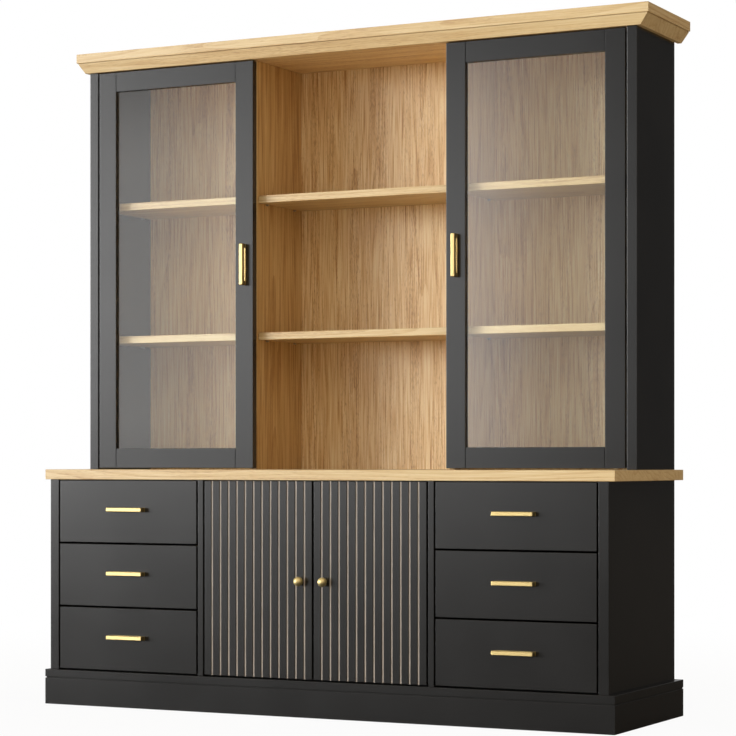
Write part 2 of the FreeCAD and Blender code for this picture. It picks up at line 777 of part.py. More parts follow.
def runner_rail(name, x_solid, x_mouth, low):
    """Rail on the drawer's side that runs in the channel with a small gap all round."""
    y = (f"{door_back} + Sizes.runner_setback", f"{box_back} - Sizes.runner_end_gap")
    middle = runner_height(low)
    half = "(Sizes.runner_height / 2 - Sizes.runner_wall - Sizes.runner_gap)"
    hollow_half = f"({half} - Sizes.runner_wall)"
    solid = board(f"{name}_solid", x_solid, y, (f"{middle} - {half}", f"{middle} + {half}"))
    hollow = board(f"{name}_hollow", x_mouth,
                   (f"{y[0]} - Sizes.overrun", f"{y[1]} + Sizes.overrun"),
                   (f"{middle} - {hollow_half}", f"{middle} + {hollow_half}"))
    return cut(name, solid, [hollow])


def drawer_runners(name, way, low):
    """Both channels of a drawer, and both rails on its box."""
    channel_far = "Sizes.runner_channel_depth"
    rail_near = "Sizes.runner_wall + Sizes.runner_gap"
    rail_far = "Sizes.runner_space"
    channels = []
    rails = []
    for hand, face, sign in (("outer", wall, "-"), ("inner", divider_outer, "+")):
        def span(near, far):
            ends = [f"{face} {sign} ({near})", f"{face} {sign} ({far})"]
            if sign == "-":
                ends.reverse()
            return across(way, *ends)

        channels.append(runner_channel(
            f"{name}_{hand}_channel", span("0", channel_far),
            span("Sizes.runner_wall", f"{channel_far} + Sizes.overrun"), low))
        rails.append(runner_rail(
            f"{name}_{hand}_rail", span(rail_near, rail_far),
            span(f"{rail_near} - Sizes.overrun", f"{rail_far} - Sizes.runner_wall"), low))
    return channels, rails


def drawer(side, way, row, level):
    """Front, box and pull of one drawer; its channels go to the cabinet."""
    name = f"{side}_{row}_drawer"
    low = f"({front_low} + {level} * ({drawer_height} + Sizes.front_gap))"
    x = across(way, front_inner, front_outer)
    middle = f"(({x[0]} + {x[1]}) / 2)"
    pull_height = f"({low} + {drawer_height} / 2 + Sizes.pull_rise)"
    hole_offset = "(Sizes.pull_length / 2 - Sizes.pull_leg / 2)"
    front = eased_board(f"{name}_front", x, (base_front, door_back),
                        (low, f"{low} + {drawer_height}"))
    for count, place in enumerate((f"- {hole_offset}", f"+ {hole_offset}"), 1):
        bore(front, f"{name}_front_hole_{count}", "Sizes.screw_hole", "Sizes.front_thickness",
             f"Sizes.drawer_front_width / 2 {place}", "Sizes.front_thickness",
             f"{pull_height} - {low}", against_y)
    node(f"{name}_front", [front])

    box_x = across(way, f"{divider_outer} + Sizes.runner_space", f"{wall} - Sizes.runner_space")
    inner_x = (f"{box_x[0]} + Sizes.box_board", f"{box_x[1]} - Sizes.box_board")
    box_y = (door_back, box_back)
    inner_y = (f"{box_y[0]} + Sizes.box_board", f"{box_y[1]} - Sizes.box_board")
    box_low = f"({low} + Sizes.box_rise)"
    box_z = (box_low, f"{box_low} + {box_height}")
    floor = f"({box_low} + Sizes.box_bottom_rise)"

    def sheet_board(part, grip, thickness):
        x_span = (f"{inner_x[0]} - {grip}", f"{inner_x[1]} + {grip}")
        y_span = (f"{inner_y[0]} - {grip}", f"{inner_y[1]} + {grip}")
        return board(f"{name}_{part}", x_span, y_span, (floor, f"{floor} + {thickness}"))

    bottom = sheet_board("box_bottom", "(Sizes.box_groove - Sizes.box_groove_play)",
                         "Sizes.box_bottom")
    slot = sheet_board("box_slot", "Sizes.box_groove", "Sizes.box_bottom + Sizes.box_groove_play")
    holes = [rod(f"{name}_box_hole_{count}", "Sizes.screw_hole / 2", "Sizes.box_board",
                 f"{middle} {place}", door_back, pull_height, along_y)
             for count, place in enumerate((f"- {hole_offset}", f"+ {hole_offset}"), 1)]
    boards = {
        "left": ((box_x[0], inner_x[0]), box_y, [slot]),
        "right": ((inner_x[1], box_x[1]), box_y, [slot]),
        "front": (inner_x, (box_y[0], inner_y[0]), [slot] + holes),
        "back": (inner_x, (inner_y[1], box_y[1]), [slot]),
    }
    pieces = [bottom]
    for part, (x_span, y_span, tools) in boards.items():
        blank = board(f"{name}_box_{part}_blank", x_span, y_span, box_z)
        pieces.append(cut(f"{name}_box_{part}", blank, tools))
    channels, rails = drawer_runners(name, way, low)
    node(f"{name}_box", pieces + rails)
    bar_pull(f"{name}_pull", middle, pull_height, base_front,
             "(Sizes.front_thickness + Sizes.box_board)", False)
    return channels


# Upper unit

def glass_door(side, way):
    """Frame rebated at the back for the pane, beads behind the glass, cups and handle."""
    name = f"{side}_glass_door"
    x = across(way, glass_inner, front_outer)
    y = (hutch_front, glass_back)
    frame = "Sizes.frame_width"
    handle_height = f"({glass_low} + {glass_height} / 2)"
    between_shelves = ("((Sizes.lower_shelf_height + Sizes.upper_shelf_height"
                       " - Sizes.shelf_thickness) / 2)")
    cup_heights = (f"({glass_low} + Sizes.glass_hinge_inset)", between_shelves,
                   f"({glass_high} - Sizes.glass_hinge_inset)")
    stiles = {
        "hinge": across(way, f"{front_outer} - {frame}", front_outer),
        "meeting": across(way, glass_inner, f"{glass_inner} + {frame}"),
    }
    rebate_y = ("Sizes.glass_door_thickness - Sizes.rebate_depth",
                "Sizes.glass_door_thickness + Sizes.overrun")
    rebate_z = (f"{frame} - Sizes.rebate_width", f"{glass_height} - {frame} + Sizes.rebate_width")
    low_side = ("-Sizes.overrun", "Sizes.rebate_width")
    high_side = (f"{frame} - Sizes.rebate_width", f"{frame} + Sizes.overrun")
    pieces = []
    cups = []
    for part, span in stiles.items():
        stile = eased_board(f"{name}_{part}_stile", span, y, (glass_low, glass_high))
        outer_right = (way > 0) == (part == "hinge")
        pocket(stile, f"{name}_{part}_rebate", low_side if outer_right else high_side,
               rebate_y, rebate_z)
        pieces.append(stile)
        if part == "hinge":
            place = f"{frame} - Sizes.cup_inset" if way > 0 else "Sizes.cup_inset"
            for count, height in enumerate(cup_heights, 1):
                bore(stile, f"{name}_cup_bore_{count}", "Sizes.cup_diameter + Sizes.cup_play",
                     "Sizes.cup_depth + Sizes.cup_play", place, "Sizes.glass_door_thickness",
                     f"{height} - {glass_low}", against_y)
                cups.append(hinge_cup(f"{name}_cup_{count}", f"{span[0]} + {place}",
                                      glass_back, height))
        else:
            for count, sign in enumerate("-+", 1):
                bore(stile, f"{name}_screw_hole_{count}", "Sizes.screw_hole",
                     "Sizes.glass_door_thickness", f"{frame} / 2", "Sizes.glass_door_thickness",
                     f"{glass_height} / 2 {sign} (Sizes.pull_length - Sizes.pull_leg) / 2",
                     against_y)
    rail_x = (f"{x[0]} + {frame}", f"{x[1]} - {frame}")
    rail_length = f"({rail_x[1]}) - ({rail_x[0]})"
    rails = {
        "bottom": ((glass_low, f"{glass_low} + {frame}"), high_side),
        "top": ((f"{glass_high} - {frame}", glass_high), low_side),
    }
    for part, (z, rebate) in rails.items():
        rail = eased_board(f"{name}_{part}_rail", rail_x, y, z)
        pocket(rail, f"{name}_{part}_rebate",
               ("-Sizes.overrun", f"{rail_length} + Sizes.overrun"), rebate_y, rebate)
        pieces.append(rail)

    sight_x = rail_x
    sight_z = (f"{glass_low} + {frame}", f"{glass_high} - {frame}")
    seat = "(Sizes.rebate_width - Sizes.pane_play)"
    pane_x = (f"{sight_x[0]} - {seat}", f"{sight_x[1]} + {seat}")
    pane_z = (f"{sight_z[0]} - {seat}", f"{sight_z[1]} + {seat}")
    pane_back = f"({rebate_front} + Sizes.pane_thickness)"
    bead_y = (pane_back, glass_back)
    pieces += [
        board(f"{name}_bead_left", (pane_x[0], sight_x[0]), bead_y, pane_z),
        board(f"{name}_bead_right", (sight_x[1], pane_x[1]), bead_y, pane_z),
        board(f"{name}_bead_bottom", sight_x, bead_y, (pane_z[0], sight_z[0])),
        board(f"{name}_bead_top", sight_x, bead_y, (sight_z[1], pane_z[1])),
    ]
    node(f"{name}_frame", pieces)
    node(f"{name}_pane", [board(f"{name}_pane", pane_x, (rebate_front, pane_back), pane_z)])
    handle_x = f"({stiles['meeting'][0]} + {frame} / 2)"
    bar_pull(f"{name}_handle", handle_x, handle_height, hutch_front,
             "Sizes.glass_door_thickness", True)
    node(f"{name}_hinge_cups", cups)
    return [hinge_arm(f"{name}_arm_{count}", way, wall, glass_back, height)
            for count, height in enumerate(cup_heights, 1)]


def hutch_shell():
    """Top and back panels of the upper unit, and the rail behind the crown."""
    node("hutch_top", [board("hutch_top", centred(carcass_side), (hutch_front, carcass_back),
                             (crown_low, top_panel_top))])
    node("hutch_back", [board("hutch_back", centred(back_side), (carcass_back, panel_back),
                              ("Sizes.counter_height", top_panel_top))])
    node("crown_back", [board("crown_back", centred(f"{carcass_side} - Sizes.crown_lap"),
                              (f"{carcass_back} - Sizes.board_thickness", carcass_back),
                              (top_panel_top, "Sizes.overall_height"))])


def catches():
    """Magnet catches over the cupboard doors, and buffers on the dividers' front edges."""
    pieces = []
    catch_y = f"({door_back} + Sizes.catch_gap)"
    for side, way in both_sides:
        x = across(way, "Sizes.catch_inset", "Sizes.catch_inset + Sizes.catch_length")
        pieces.append(board(f"catch_{side}", x, (catch_y, f"{catch_y} + Sizes.catch_depth"),
                            (f"{rail_under} - Sizes.catch_height", rail_under)))
        middle = f"({glass_inner} + Sizes.board_thickness / 2)"
        place = across(way, middle, middle)[0]
        thickness = "(Sizes.buffer_gap - Sizes.buffer_play)"
        for level, height in (("low", f"{glass_low} + Sizes.buffer_inset"),
                              ("high", f"{glass_high} - Sizes.buffer_inset")):
            pieces.append(rod(f"buffer_{side}_{level}", "Sizes.buffer_diameter / 2", thickness,
                              place, f"{hutch_divider_front} - {thickness}", height, along_y))
    node("door_catches", pieces)


def brackets():
    """Angles at the foot of the upper unit and straps to the wall at its top."""
    inset = f"({wall} - Sizes.bracket_width / 2)"
    half_spacing = "(Sizes.wall_bracket_spacing / 2)"
    angles = []
    straps = []
    for side, way in both_sides:
        angles.append(angle_bracket(f"angle_{side}_outer", across(way, inset, inset)[0]))
        angles.append(angle_bracket(f"angle_{side}_inner",
                                    across(way, glass_inner, glass_inner)[0]))
        straps.append(wall_bracket(f"strap_{side}", across(way, half_spacing, half_spacing)[0]))
    node("joining_brackets", angles)
    node("wall_brackets", straps)


plinth_boards()
base_carcass()
shelves_and_panels()
arms = []
channels = []
for side, way in both_sides:
    arms += cupboard_door(side, way)
    arms += glass_door(side, way)
    for level, row in enumerate(drawer_rows):
        channels += drawer(side, way, row, level)
node("hinge_arms", arms)
node("drawer_runner_channels", channels)
hutch_shell()
crown_boards()
catches()
brackets()
doc.recompute()

for thing in doc.Objects:
    if "Invalid" in thing.State or "Error" in thing.State:
        raise RuntimeError(f"{thing.Label} did not compute: {thing.State}")
for name, whole in nodes.items():
    if whole.Shape.isNull() or not whole.Shape.isValid():
        raise RuntimeError(f"{name} has no valid shape")
for name, whole in nodes.items():
    whole.Shape.exportStep(f"parts/{name}.step")
print(len(nodes), "nodes,", sum(len(whole.Shape.Solids) for whole in nodes.values()), "solids")
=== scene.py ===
import json
import math

import bpy
import numpy as np
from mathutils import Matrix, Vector
from mathutils.geometry import tessellate_polygon


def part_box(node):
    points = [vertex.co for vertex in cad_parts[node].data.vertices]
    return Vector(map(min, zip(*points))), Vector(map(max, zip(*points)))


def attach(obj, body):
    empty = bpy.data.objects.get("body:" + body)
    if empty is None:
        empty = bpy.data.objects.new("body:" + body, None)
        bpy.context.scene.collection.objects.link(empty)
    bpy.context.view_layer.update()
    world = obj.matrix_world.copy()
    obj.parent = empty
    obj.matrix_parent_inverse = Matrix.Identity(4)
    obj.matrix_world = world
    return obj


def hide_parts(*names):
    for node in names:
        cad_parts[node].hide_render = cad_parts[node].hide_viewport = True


# Kitchen hutch in satin charcoal paint and oak. Places are in metres, in the part's own frame:
# X to the right, Y to the wall behind, Z up, the origin on the floor.

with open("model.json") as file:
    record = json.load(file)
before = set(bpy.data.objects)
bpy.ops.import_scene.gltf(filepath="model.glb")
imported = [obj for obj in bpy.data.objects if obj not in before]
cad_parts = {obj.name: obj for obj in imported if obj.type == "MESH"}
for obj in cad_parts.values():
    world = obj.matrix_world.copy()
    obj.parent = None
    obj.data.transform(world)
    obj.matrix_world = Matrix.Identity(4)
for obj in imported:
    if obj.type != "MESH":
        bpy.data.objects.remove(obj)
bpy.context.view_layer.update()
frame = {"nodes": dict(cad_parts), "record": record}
nodes = frame["nodes"]
print("stage: frame loaded,", len(nodes), "nodes")

mm = 0.001
sides = ("left", "right")


# Each drawer's name in its nodes, and in the scene's pieces
def drawersOn(side):
    return [(f"{side}_{row}_drawer", side + row.capitalize())
            for row in ("bottom", "middle", "top")]


drawers = drawersOn("left") + drawersOn("right")


# sRGB hex to the linear values that shaders take
def linearColour(hexColour):
    parts = [int(hexColour[i:i + 2], 16) / 255 for i in (1, 3, 5)]
    linear = [v / 12.92 if v <= 0.04045 else ((v + 0.055) / 1.055) ** 2.4 for v in parts]
    return (*linear, 1.0)


# Adds a node: inputs take a value or another node's output, stops are (place, hex) of a ramp
def addNode(tree, kind, inputs=None, stops=None, **settings):
    node = tree.nodes.new(kind)
    for name, value in settings.items():
        setattr(node, name, value)
    for name, value in (inputs or {}).items():
        if isinstance(value, bpy.types.NodeSocket):
            tree.links.new(value, node.inputs[name])
        else:
            node.inputs[name].default_value = value
    if stops:
        ramp = node.color_ramp.elements
        while len(ramp) < len(stops):
            ramp.new(0.5)
        for element, (place, colour) in zip(ramp, stops):
            element.position = place
            element.color = linearColour(colour)
    return node


# One step of arithmetic on numbers or on other nodes' outputs
def mathNode(tree, operation, *values):
    return addNode(tree, "ShaderNodeMath", dict(enumerate(values)),
                   operation=operation).outputs["Value"]


# The same on vectors
def vectorNode(tree, operation, *values, result="Vector"):
    return addNode(tree, "ShaderNodeVectorMath", dict(enumerate(values)),
                   operation=operation).outputs[result]


# Spreads start to end over low to high, as a soft step or evenly
def rangeNode(tree, value, start, end, low=0.0, high=1.0, spread="SMOOTHSTEP"):
    inputs = {"Value": value, "From Min": start, "From Max": end, "To Min": low, "To Max": high}
    return addNode(tree, "ShaderNodeMapRange", inputs, interpolation_type=spread).outputs["Result"]


def mixColours(tree, share, first, second):
    return addNode(tree, "ShaderNodeMix", {0: share, 6: first, 7: second},
                   data_type="RGBA").outputs[2]


# Shows a mix of two surfaces, or of two skies, by a share
def showMixed(tree, outputName, share, first, second):
    shown = addNode(tree, "ShaderNodeMixShader", {0: share, 1: first, 2: second})
    tree.links.new(shown.outputs["Shader"], tree.nodes[outputName].inputs["Surface"])


# A ray's kinds, and whether the camera sees it straight or through glass
def seenRays(tree):
    ray = addNode(tree, "ShaderNodeLightPath").outputs
    return ray, mathNode(tree, "MAXIMUM", ray["Is Camera Ray"], ray["Is Transmission Ray"])


# Empty material with its shader, and the place on the piece that patterns are drawn by
def newMaterial(name, **shaderInputs):
    material = bpy.data.materials.new(name)
    material.use_nodes = True
    tree = material.node_tree
    shader = tree.nodes["Principled BSDF"]
    for socket, value in shaderInputs.items():
        shader.inputs[socket.replace("_", " ")].default_value = value
    place = addNode(tree, "ShaderNodeTexCoord").outputs["Object"]
    return material, tree, shader, place


# Noise whose spots are `across` metres wide, and `along` metres long on the given axis
def grainNoise(tree, place, across, along=None, axis=2, **noise):
    scale = [1 / across] * 3
    scale[axis] = 1 / (along or across)
    squeezed = addNode(tree, "ShaderNodeMapping", {"Vector": place, "Scale": scale})
    inputs = {"Vector": squeezed.outputs["Vector"], "Scale": 1.0, **noise}
    return addNode(tree, "ShaderNodeTexNoise", inputs).outputs["Fac"]


# What a noise can drive: a colour between two tones, a gloss between two roughnesses, and a
# bump of the given depth in metres
def toneFrom(tree, noise, tones, ends=(0.35, 0.65)):
    return addNode(tree, "ShaderNodeValToRGB", {"Fac": noise},
                   stops=list(zip(ends, tones))).outputs["Color"]


def glossFrom(tree, shader, noise, ends):
    rough = rangeNode(tree, noise, 0.0, 1.0, *ends, spread="LINEAR")
    tree.links.new(rough, shader.inputs["Roughness"])


def bumpFrom(tree, shader, noise, depth, strength=1.0):
    inputs = {"Height": noise, "Distance": depth, "Strength": strength}
    bump = addNode(tree, "ShaderNodeBump", inputs)
    tree.links.new(bump.outputs["Normal"], shader.inputs["Normal"])


# Satin lacquer sprayed on smooth fibreboard: an even charcoal with soft gloss, a faint mottle
# where the coat is thicker and the fine orange peel that spraying leaves
satinPaint = {
    "tones": ("#191919", "#1c1c1c"),
    "mottleSize": 160 * mm,
    "sheen": (0.19, 0.23),
    "peelSize": 2.2 * mm,
    "peelDepth": 0.012 * mm,
}


def makeSatinPaint():
    look = satinPaint
    material, tree, shader, place = newMaterial("satinLacqueredFibreboard")
    mottle = grainNoise(tree, place, look["mottleSize"], Detail=3.0)
    tree.links.new(toneFrom(tree, mottle, look["tones"]), shader.inputs["Base Color"])
    glossFrom(tree, shader, mottle, look["sheen"])
    peel = grainNoise(tree, place, look["peelSize"], Detail=1.0)
    bumpFrom(tree, shader, peel, look["peelDepth"])
    return material


# Oak veneer, sliced and matt lacquered: growth rings that run in long flames, dark where each
# begins, fine fibre streaks, dark open pores that gather in drifts, and a slow change of tone
oakVeneer = {
    "tones": [(0.22, "#ab8856"), (0.42, "#c3a673"), (0.60, "#d0b98a"), (0.82, "#dbc8a1")],
    "middleTone": 0.51,
    "ringWidth": 22 * mm,
    "ringSlant": 0.8,
    "ringDrift": 11.0,
    "driftSize": (120 * mm, 1500 * mm),
    "ringLength": 0.55,
    "ringShare": 0.14,
    "ringWeight": 1.3,
    # Real fibres are finer than the render shows, so these are drawn coarser
    "fibreSize": (3.0 * mm, 150 * mm),
    "fibreDetail": 4.0,
    "fibreShare": 0.80,
    "poreSize": (1.6 * mm, 24 * mm),
    "poreEnds": (0.24, 0.42),
    "poreShare": 0.45,
    "poresByStreak": -0.5,
    "poresByRing": -0.08,
    "streakSize": (34 * mm, 700 * mm),
    "streakShare": 0.22,
    "poreColour": "#8f6236",
    "poreDepth": 0.10 * mm,
    "roughness": 0.4,
    "specular": 0.6,
}

# The partitions are drawn a little darker and warmer where they face the middle bay: painted
# shade. They are seen at a slant, so their fibres are drawn coarser still
oakPartitionShadedVeneer = dict(
    oakVeneer,
    tones=[(0.22, "#936b38"), (0.42, "#b48e57"), (0.60, "#c8a873"), (0.82, "#d7be8e")],
    fibreSize=(6.0 * mm, 220 * mm),
    fibreDetail=1.5,
)

# The veneer of the back and top panels is paler, with stronger fibres and shorter, darker pores
oakBackVeneer = dict(
    oakVeneer,
    tones=[(0.22, "#ab783c"), (0.42, "#d5ae75"), (0.60, "#ecd2a1"), (0.82, "#f7e7c4")],
    ringShare=0.09,
    fibreSize=(2.7 * mm, 150 * mm),
    fibreDetail=1.2,
    fibreShare=0.95,
    poreSize=(2.1 * mm, 15 * mm),
    poreShare=0.50,
    streakShare=0.17,
    poreColour="#8c5420",
)

# Bare fibreboard at the back of the upper unit's panel, from this place on
bareBack = {"from": 265 * mm, "fleckSize": 3 * mm, "tones": ("#7d6549", "#94795a"),
            "ends": (0.3, 0.7)}


def makeOak(name, axis, shift, look=oakVeneer, bare=None):
    material, tree, shader, place = newMaterial(
        name, Roughness=look["roughness"], Specular_IOR_Level=look["specular"])
    moved = vectorNode(tree, "ADD", place, (shift, shift, shift))

    def grain(size, detail, **noise):
        return grainNoise(tree, moved, *look[size], axis=axis, Detail=detail, **noise)

    drift = grain("driftSize", 1.5)
    fibre = grain("fibreSize", look["fibreDetail"], Roughness=0.7)
    pores = grain("poreSize", 3.0)
    streak = grain("streakSize", 3.0)
    # Rings: how far across the grain, pushed to and fro by the slow drift, in ring widths. The
    # part after the point says how far through its ring a place is
    slant = look["ringSlant"]
    across = [(0, slant, 1), (1, 0, slant), (1, slant, 0)][axis]
    way = vectorNode(tree, "DOT_PRODUCT", moved, across, result="Value")
    turns = mathNode(tree, "MULTIPLY", way, 1 / look["ringWidth"])
    pushed = mathNode(tree, "MULTIPLY_ADD", drift, look["ringDrift"], turns)
    late = rangeNode(tree, mathNode(tree, "FRACT", pushed), 0.0, look["ringLength"])
    # The shares are set off so that the middle tone stays the same
    shares = look["fibreShare"] + look["streakShare"] + look["ringShare"] * look["ringWeight"]
    mixed = look["middleTone"] - 0.5 * shares
    for value, share in ((late, look["ringShare"]), (fibre, look["fibreShare"]),
                         (streak, look["streakShare"])):
        mixed = mathNode(tree, "MULTIPLY_ADD", value, share, mixed)
    places, tones = zip(*look["tones"])
    veneer = toneFrom(tree, mixed, tones, places)
    # Pores gather where the streaks are dark and where a ring begins
    gathered = mathNode(tree, "MULTIPLY_ADD", streak, look["poresByStreak"], pores)
    gathered = mathNode(tree, "MULTIPLY_ADD", late, look["poresByRing"], gathered)
    pored = rangeNode(tree, gathered, *look["poreEnds"], high=look["poreShare"], spread="LINEAR")
    veneer = mixColours(tree, pored, veneer, linearColour(look["poreColour"]))
    if bare:
        depth = addNode(tree, "ShaderNodeSeparateXYZ", {"Vector": place}).outputs["Y"]
        behind = mathNode(tree, "GREATER_THAN", depth, bare["from"])
        fleck = grainNoise(tree, place, bare["fleckSize"], Detail=4.0)
        bareTone = toneFrom(tree, fleck, bare["tones"], bare["ends"])
        veneer = mixColours(tree, behind, veneer, bareTone)
    tree.links.new(veneer, shader.inputs["Base Color"])
    bumpFrom(tree, shader, pores, look["poreDepth"], strength=0.5)
    return material


# Matt melamine-faced chipboard of the carcass, charcoal with a faint pressed texture
melamine = {"tones": ("#262625", "#2d2d2c"), "roughness": 0.6, "textureSize": 1.5 * mm,
            "textureDepth": 0.03 * mm}
# Bare hardboard at the back of the base unit, dyed dark, with flecks of fibre
hardboard = {"tones": ("#3a332c", "#4a4138"), "roughness": 0.8, "textureSize": 3 * mm,
             "textureDepth": 0.05 * mm}
# Greige lacquered strip, a flat pale line in the grooves of the doors
inlayLacquer = {"tones": ("#a39a91", "#aea49a"), "roughness": 0.42, "textureSize": 60 * mm,
                "textureDepth": 0.0}
# Injection-moulded nylon of the buffers and catches
nylon = {"tones": ("#2a2a2a", "#303030"), "roughness": 0.55, "textureSize": 0.8 * mm,
         "textureDepth": 0.01 * mm}


def makeFlecked(name, look):
    material, tree, shader, place = newMaterial(name, Roughness=look["roughness"])
    fleck = grainNoise(tree, place, look["textureSize"], Detail=3.0)
    tree.links.new(toneFrom(tree, fleck, look["tones"]), shader.inputs["Base Color"])
    if look["textureDepth"]:
        bumpFrom(tree, shader, fleck, look["textureDepth"])
    return material


# Brass, brushed along its length and clear lacquered: pale soft gold, with fine lengthwise
# lines in its gloss. The turned knobs have a softer gloss, and a lighter colour that is painted
# light, for the light from above on them. Zinc plate on pressed steel: cool, cloudy, dull
brushedBrass = {"colour": "#d5be82", "roughness": (0.36, 0.48), "lineSize": (0.7 * mm, 60 * mm),
                "lineDepth": 0.010 * mm}
turnedBrassPaintedLight = dict(brushedBrass, colour="#f0dc9e", roughness=(0.50, 0.58))
zincPlate = {"colour": "#c3c6c9", "roughness": (0.30, 0.45), "lineSize": (7 * mm, 9 * mm),
             "lineDepth": 0.0}


def makeMetal(name, look, axis):
    material, tree, shader, place = newMaterial(
        name, Metallic=1.0, Base_Color=linearColour(look["colour"]))
    lines = grainNoise(tree, place, *look["lineSize"], axis=axis, Detail=3.0)
    glossFrom(tree, shader, lines, look["roughness"])
    if look["lineDepth"]:
        bumpFrom(tree, shader, lines, look["lineDepth"])
    return material


# Clear float glass, polished flat: a faint green body colour. Lamps reach the shelves through it
floatGlass = {"colour": "#fcfefd", "ior": 1.52, "roughness": 0.0}


def makeGlass():
    look = floatGlass
    colour = linearColour(look["colour"])
    material, tree, shader, _ = newMaterial(
        "clearFloatGlass", Base_Color=colour, IOR=look["ior"], Roughness=look["roughness"],
        Transmission_Weight=1.0)
    ray = addNode(tree, "ShaderNodeLightPath").outputs
    passing = mathNode(tree, "MAXIMUM", ray["Is Shadow Ray"], ray["Is Diffuse Ray"])
    clear = addNode(tree, "ShaderNodeBsdfTransparent", {"Color": colour}).outputs["BSDF"]
    showMixed(tree, "Material Output", passing, shader.outputs["BSDF"], clear)
    return material


paint = makeSatinPaint()
oakLengthwise = makeOak("oakVeneerLengthwise", 0, 0.31)
oakFrontToBack = makeOak("oakVeneerFrontToBack", 1, 1.17)
oakUpright = makeOak("oakVeneerUpright", 2, 2.43)
oakPartitionPaintedShade = makeOak("oakVeneerPartitionsPaintedShade", 2, 6.4, oakPartitionShadedVeneer)
oakBack = makeOak("oakVeneerBackPanel", 2, 5.2, oakBackVeneer, bareBack)
oakTop = makeOak("oakVeneerTopPanel", 0, 3.7, oakBackVeneer)
carcassBoard = makeFlecked("melamineChipboard", melamine)
backBoard = makeFlecked("dyedHardboard", hardboard)
inlay = makeFlecked("lacqueredInlayStrip", inlayLacquer)
plastic = makeFlecked("mouldedNylon", nylon)
brassAcross = makeMetal("brushedBrassAcross", brushedBrass, 0)
brassUpright = makeMetal("brushedBrassUpright", brushedBrass, 2)
brassTurnedPaintedLight = makeMetal("satinTurnedBrassPaintedLight", turnedBrassPaintedLight, 1)
steel = makeMetal("zincPlatedSteel", zincPlate, 0)
glass = makeGlass()
print("stage: materials made")

# The nodes that each material is on. A star stands for the side
wornBy = [
    (paint, "plinth_front plinth_sides base_sides base_dividers hutch_sides "
            "*_cupboard_door_panel *_glass_door_frame"),
    (inlay, "*_cupboard_door_inlays"),
    (carcassBoard, "plinth_rails base_bottom base_top_rails cupboard_shelf"),
    (backBoard, "base_back"),
    (oakLengthwise, "countertop crown_front crown_back side_bay_shelves centre_bay_shelves"),
    (oakFrontToBack, "crown_sides"),
    (oakPartitionPaintedShade, "hutch_dividers"),
    (oakTop, "hutch_top"),
    (oakBack, "hutch_back"),
    (glass, "*_glass_door_pane"),
    (brassTurnedPaintedLight, "*_cupboard_door_knob"),
    (brassUpright, "*_glass_door_handle"),
    (steel, "shelf_pins drawer_runner_channels hinge_arms joining_brackets wall_brackets "
            "*_cupboard_door_hinge_cups *_glass_door_hinge_cups"),
    (plastic, "door_catches"),
]
finishes = {name.replace("*", side): material for material, names in wornBy
            for name in names.split() for side in sides}
for drawer, _ in drawers:
    finishes.update({f"{drawer}_front": paint, f"{drawer}_box": oakFrontToBack,
                     f"{drawer}_pull": brassAcross})
for name, piece in nodes.items():
    piece.data.materials.clear()
    piece.data.materials.append(finishes[name])


# Shape code. A part is (points, outward normals, faces); parts are welded into one piece.
# Outline with softened corners: at each corner an arc tangent to both edges, of the given
# radius or as much of it as fits. Corners run anticlockwise
def softOutline(corners, softness, steps=3):
    corners = np.asarray(corners, float)
    ahead = np.roll(corners, -1, axis=0) - corners
    length = np.linalg.norm(ahead, axis=1)
    ahead /= length[:, None]
    behind = np.roll(ahead, 1, axis=0)
    bend = np.arctan2(behind[:, 0] * ahead[:, 1] - behind[:, 1] * ahead[:, 0],
                      np.sum(behind * ahead, axis=1))
    half = np.tan(np.abs(bend) / 2)
    room = np.minimum(length, np.roll(length, 1)) * 0.48
    radius = np.minimum(np.broadcast_to(softness, len(corners)), room / half)
    share = np.linspace(0, 1, steps + 1)[None, :]
    turn = np.arctan2(-behind[:, 0], behind[:, 1])[:, None] + bend[:, None] * share
    normals = np.stack([np.cos(turn), np.sin(turn)], axis=2)
    way = (np.sign(bend) * radius)[:, None]
    out = np.stack([behind[:, 1], -behind[:, 0]], axis=1)
    middle = corners - behind * (radius * half)[:, None] - out * way
    points = middle[:, None, :] + normals * way[:, :, None]
    return points.reshape(-1, 2), normals.reshape(-1, 2)


# The outline's own two directions are (y, z), (z, x) or (x, y) for axis 0, 1 or 2
def inSpace(flat, along, axis):
    space = np.empty((len(flat), 3))
    space[:, (axis + 1) % 3] = flat[:, 0]
    space[:, (axis + 2) % 3] = flat[:, 1]
    space[:, axis] = along
    return space


# Faces between neighbouring rows of points, each row a closed ring of `count` points
def ringFaces(rows, count):
    lower = np.arange(rows - 1)[:, None] * count
    here = np.arange(count)[None, :]
    there = (here + 1) % count
    quads = np.stack([lower + here, lower + there, lower + count + there,
                      lower + count + here], axis=2)
    return quads.reshape(-1, 4).tolist()


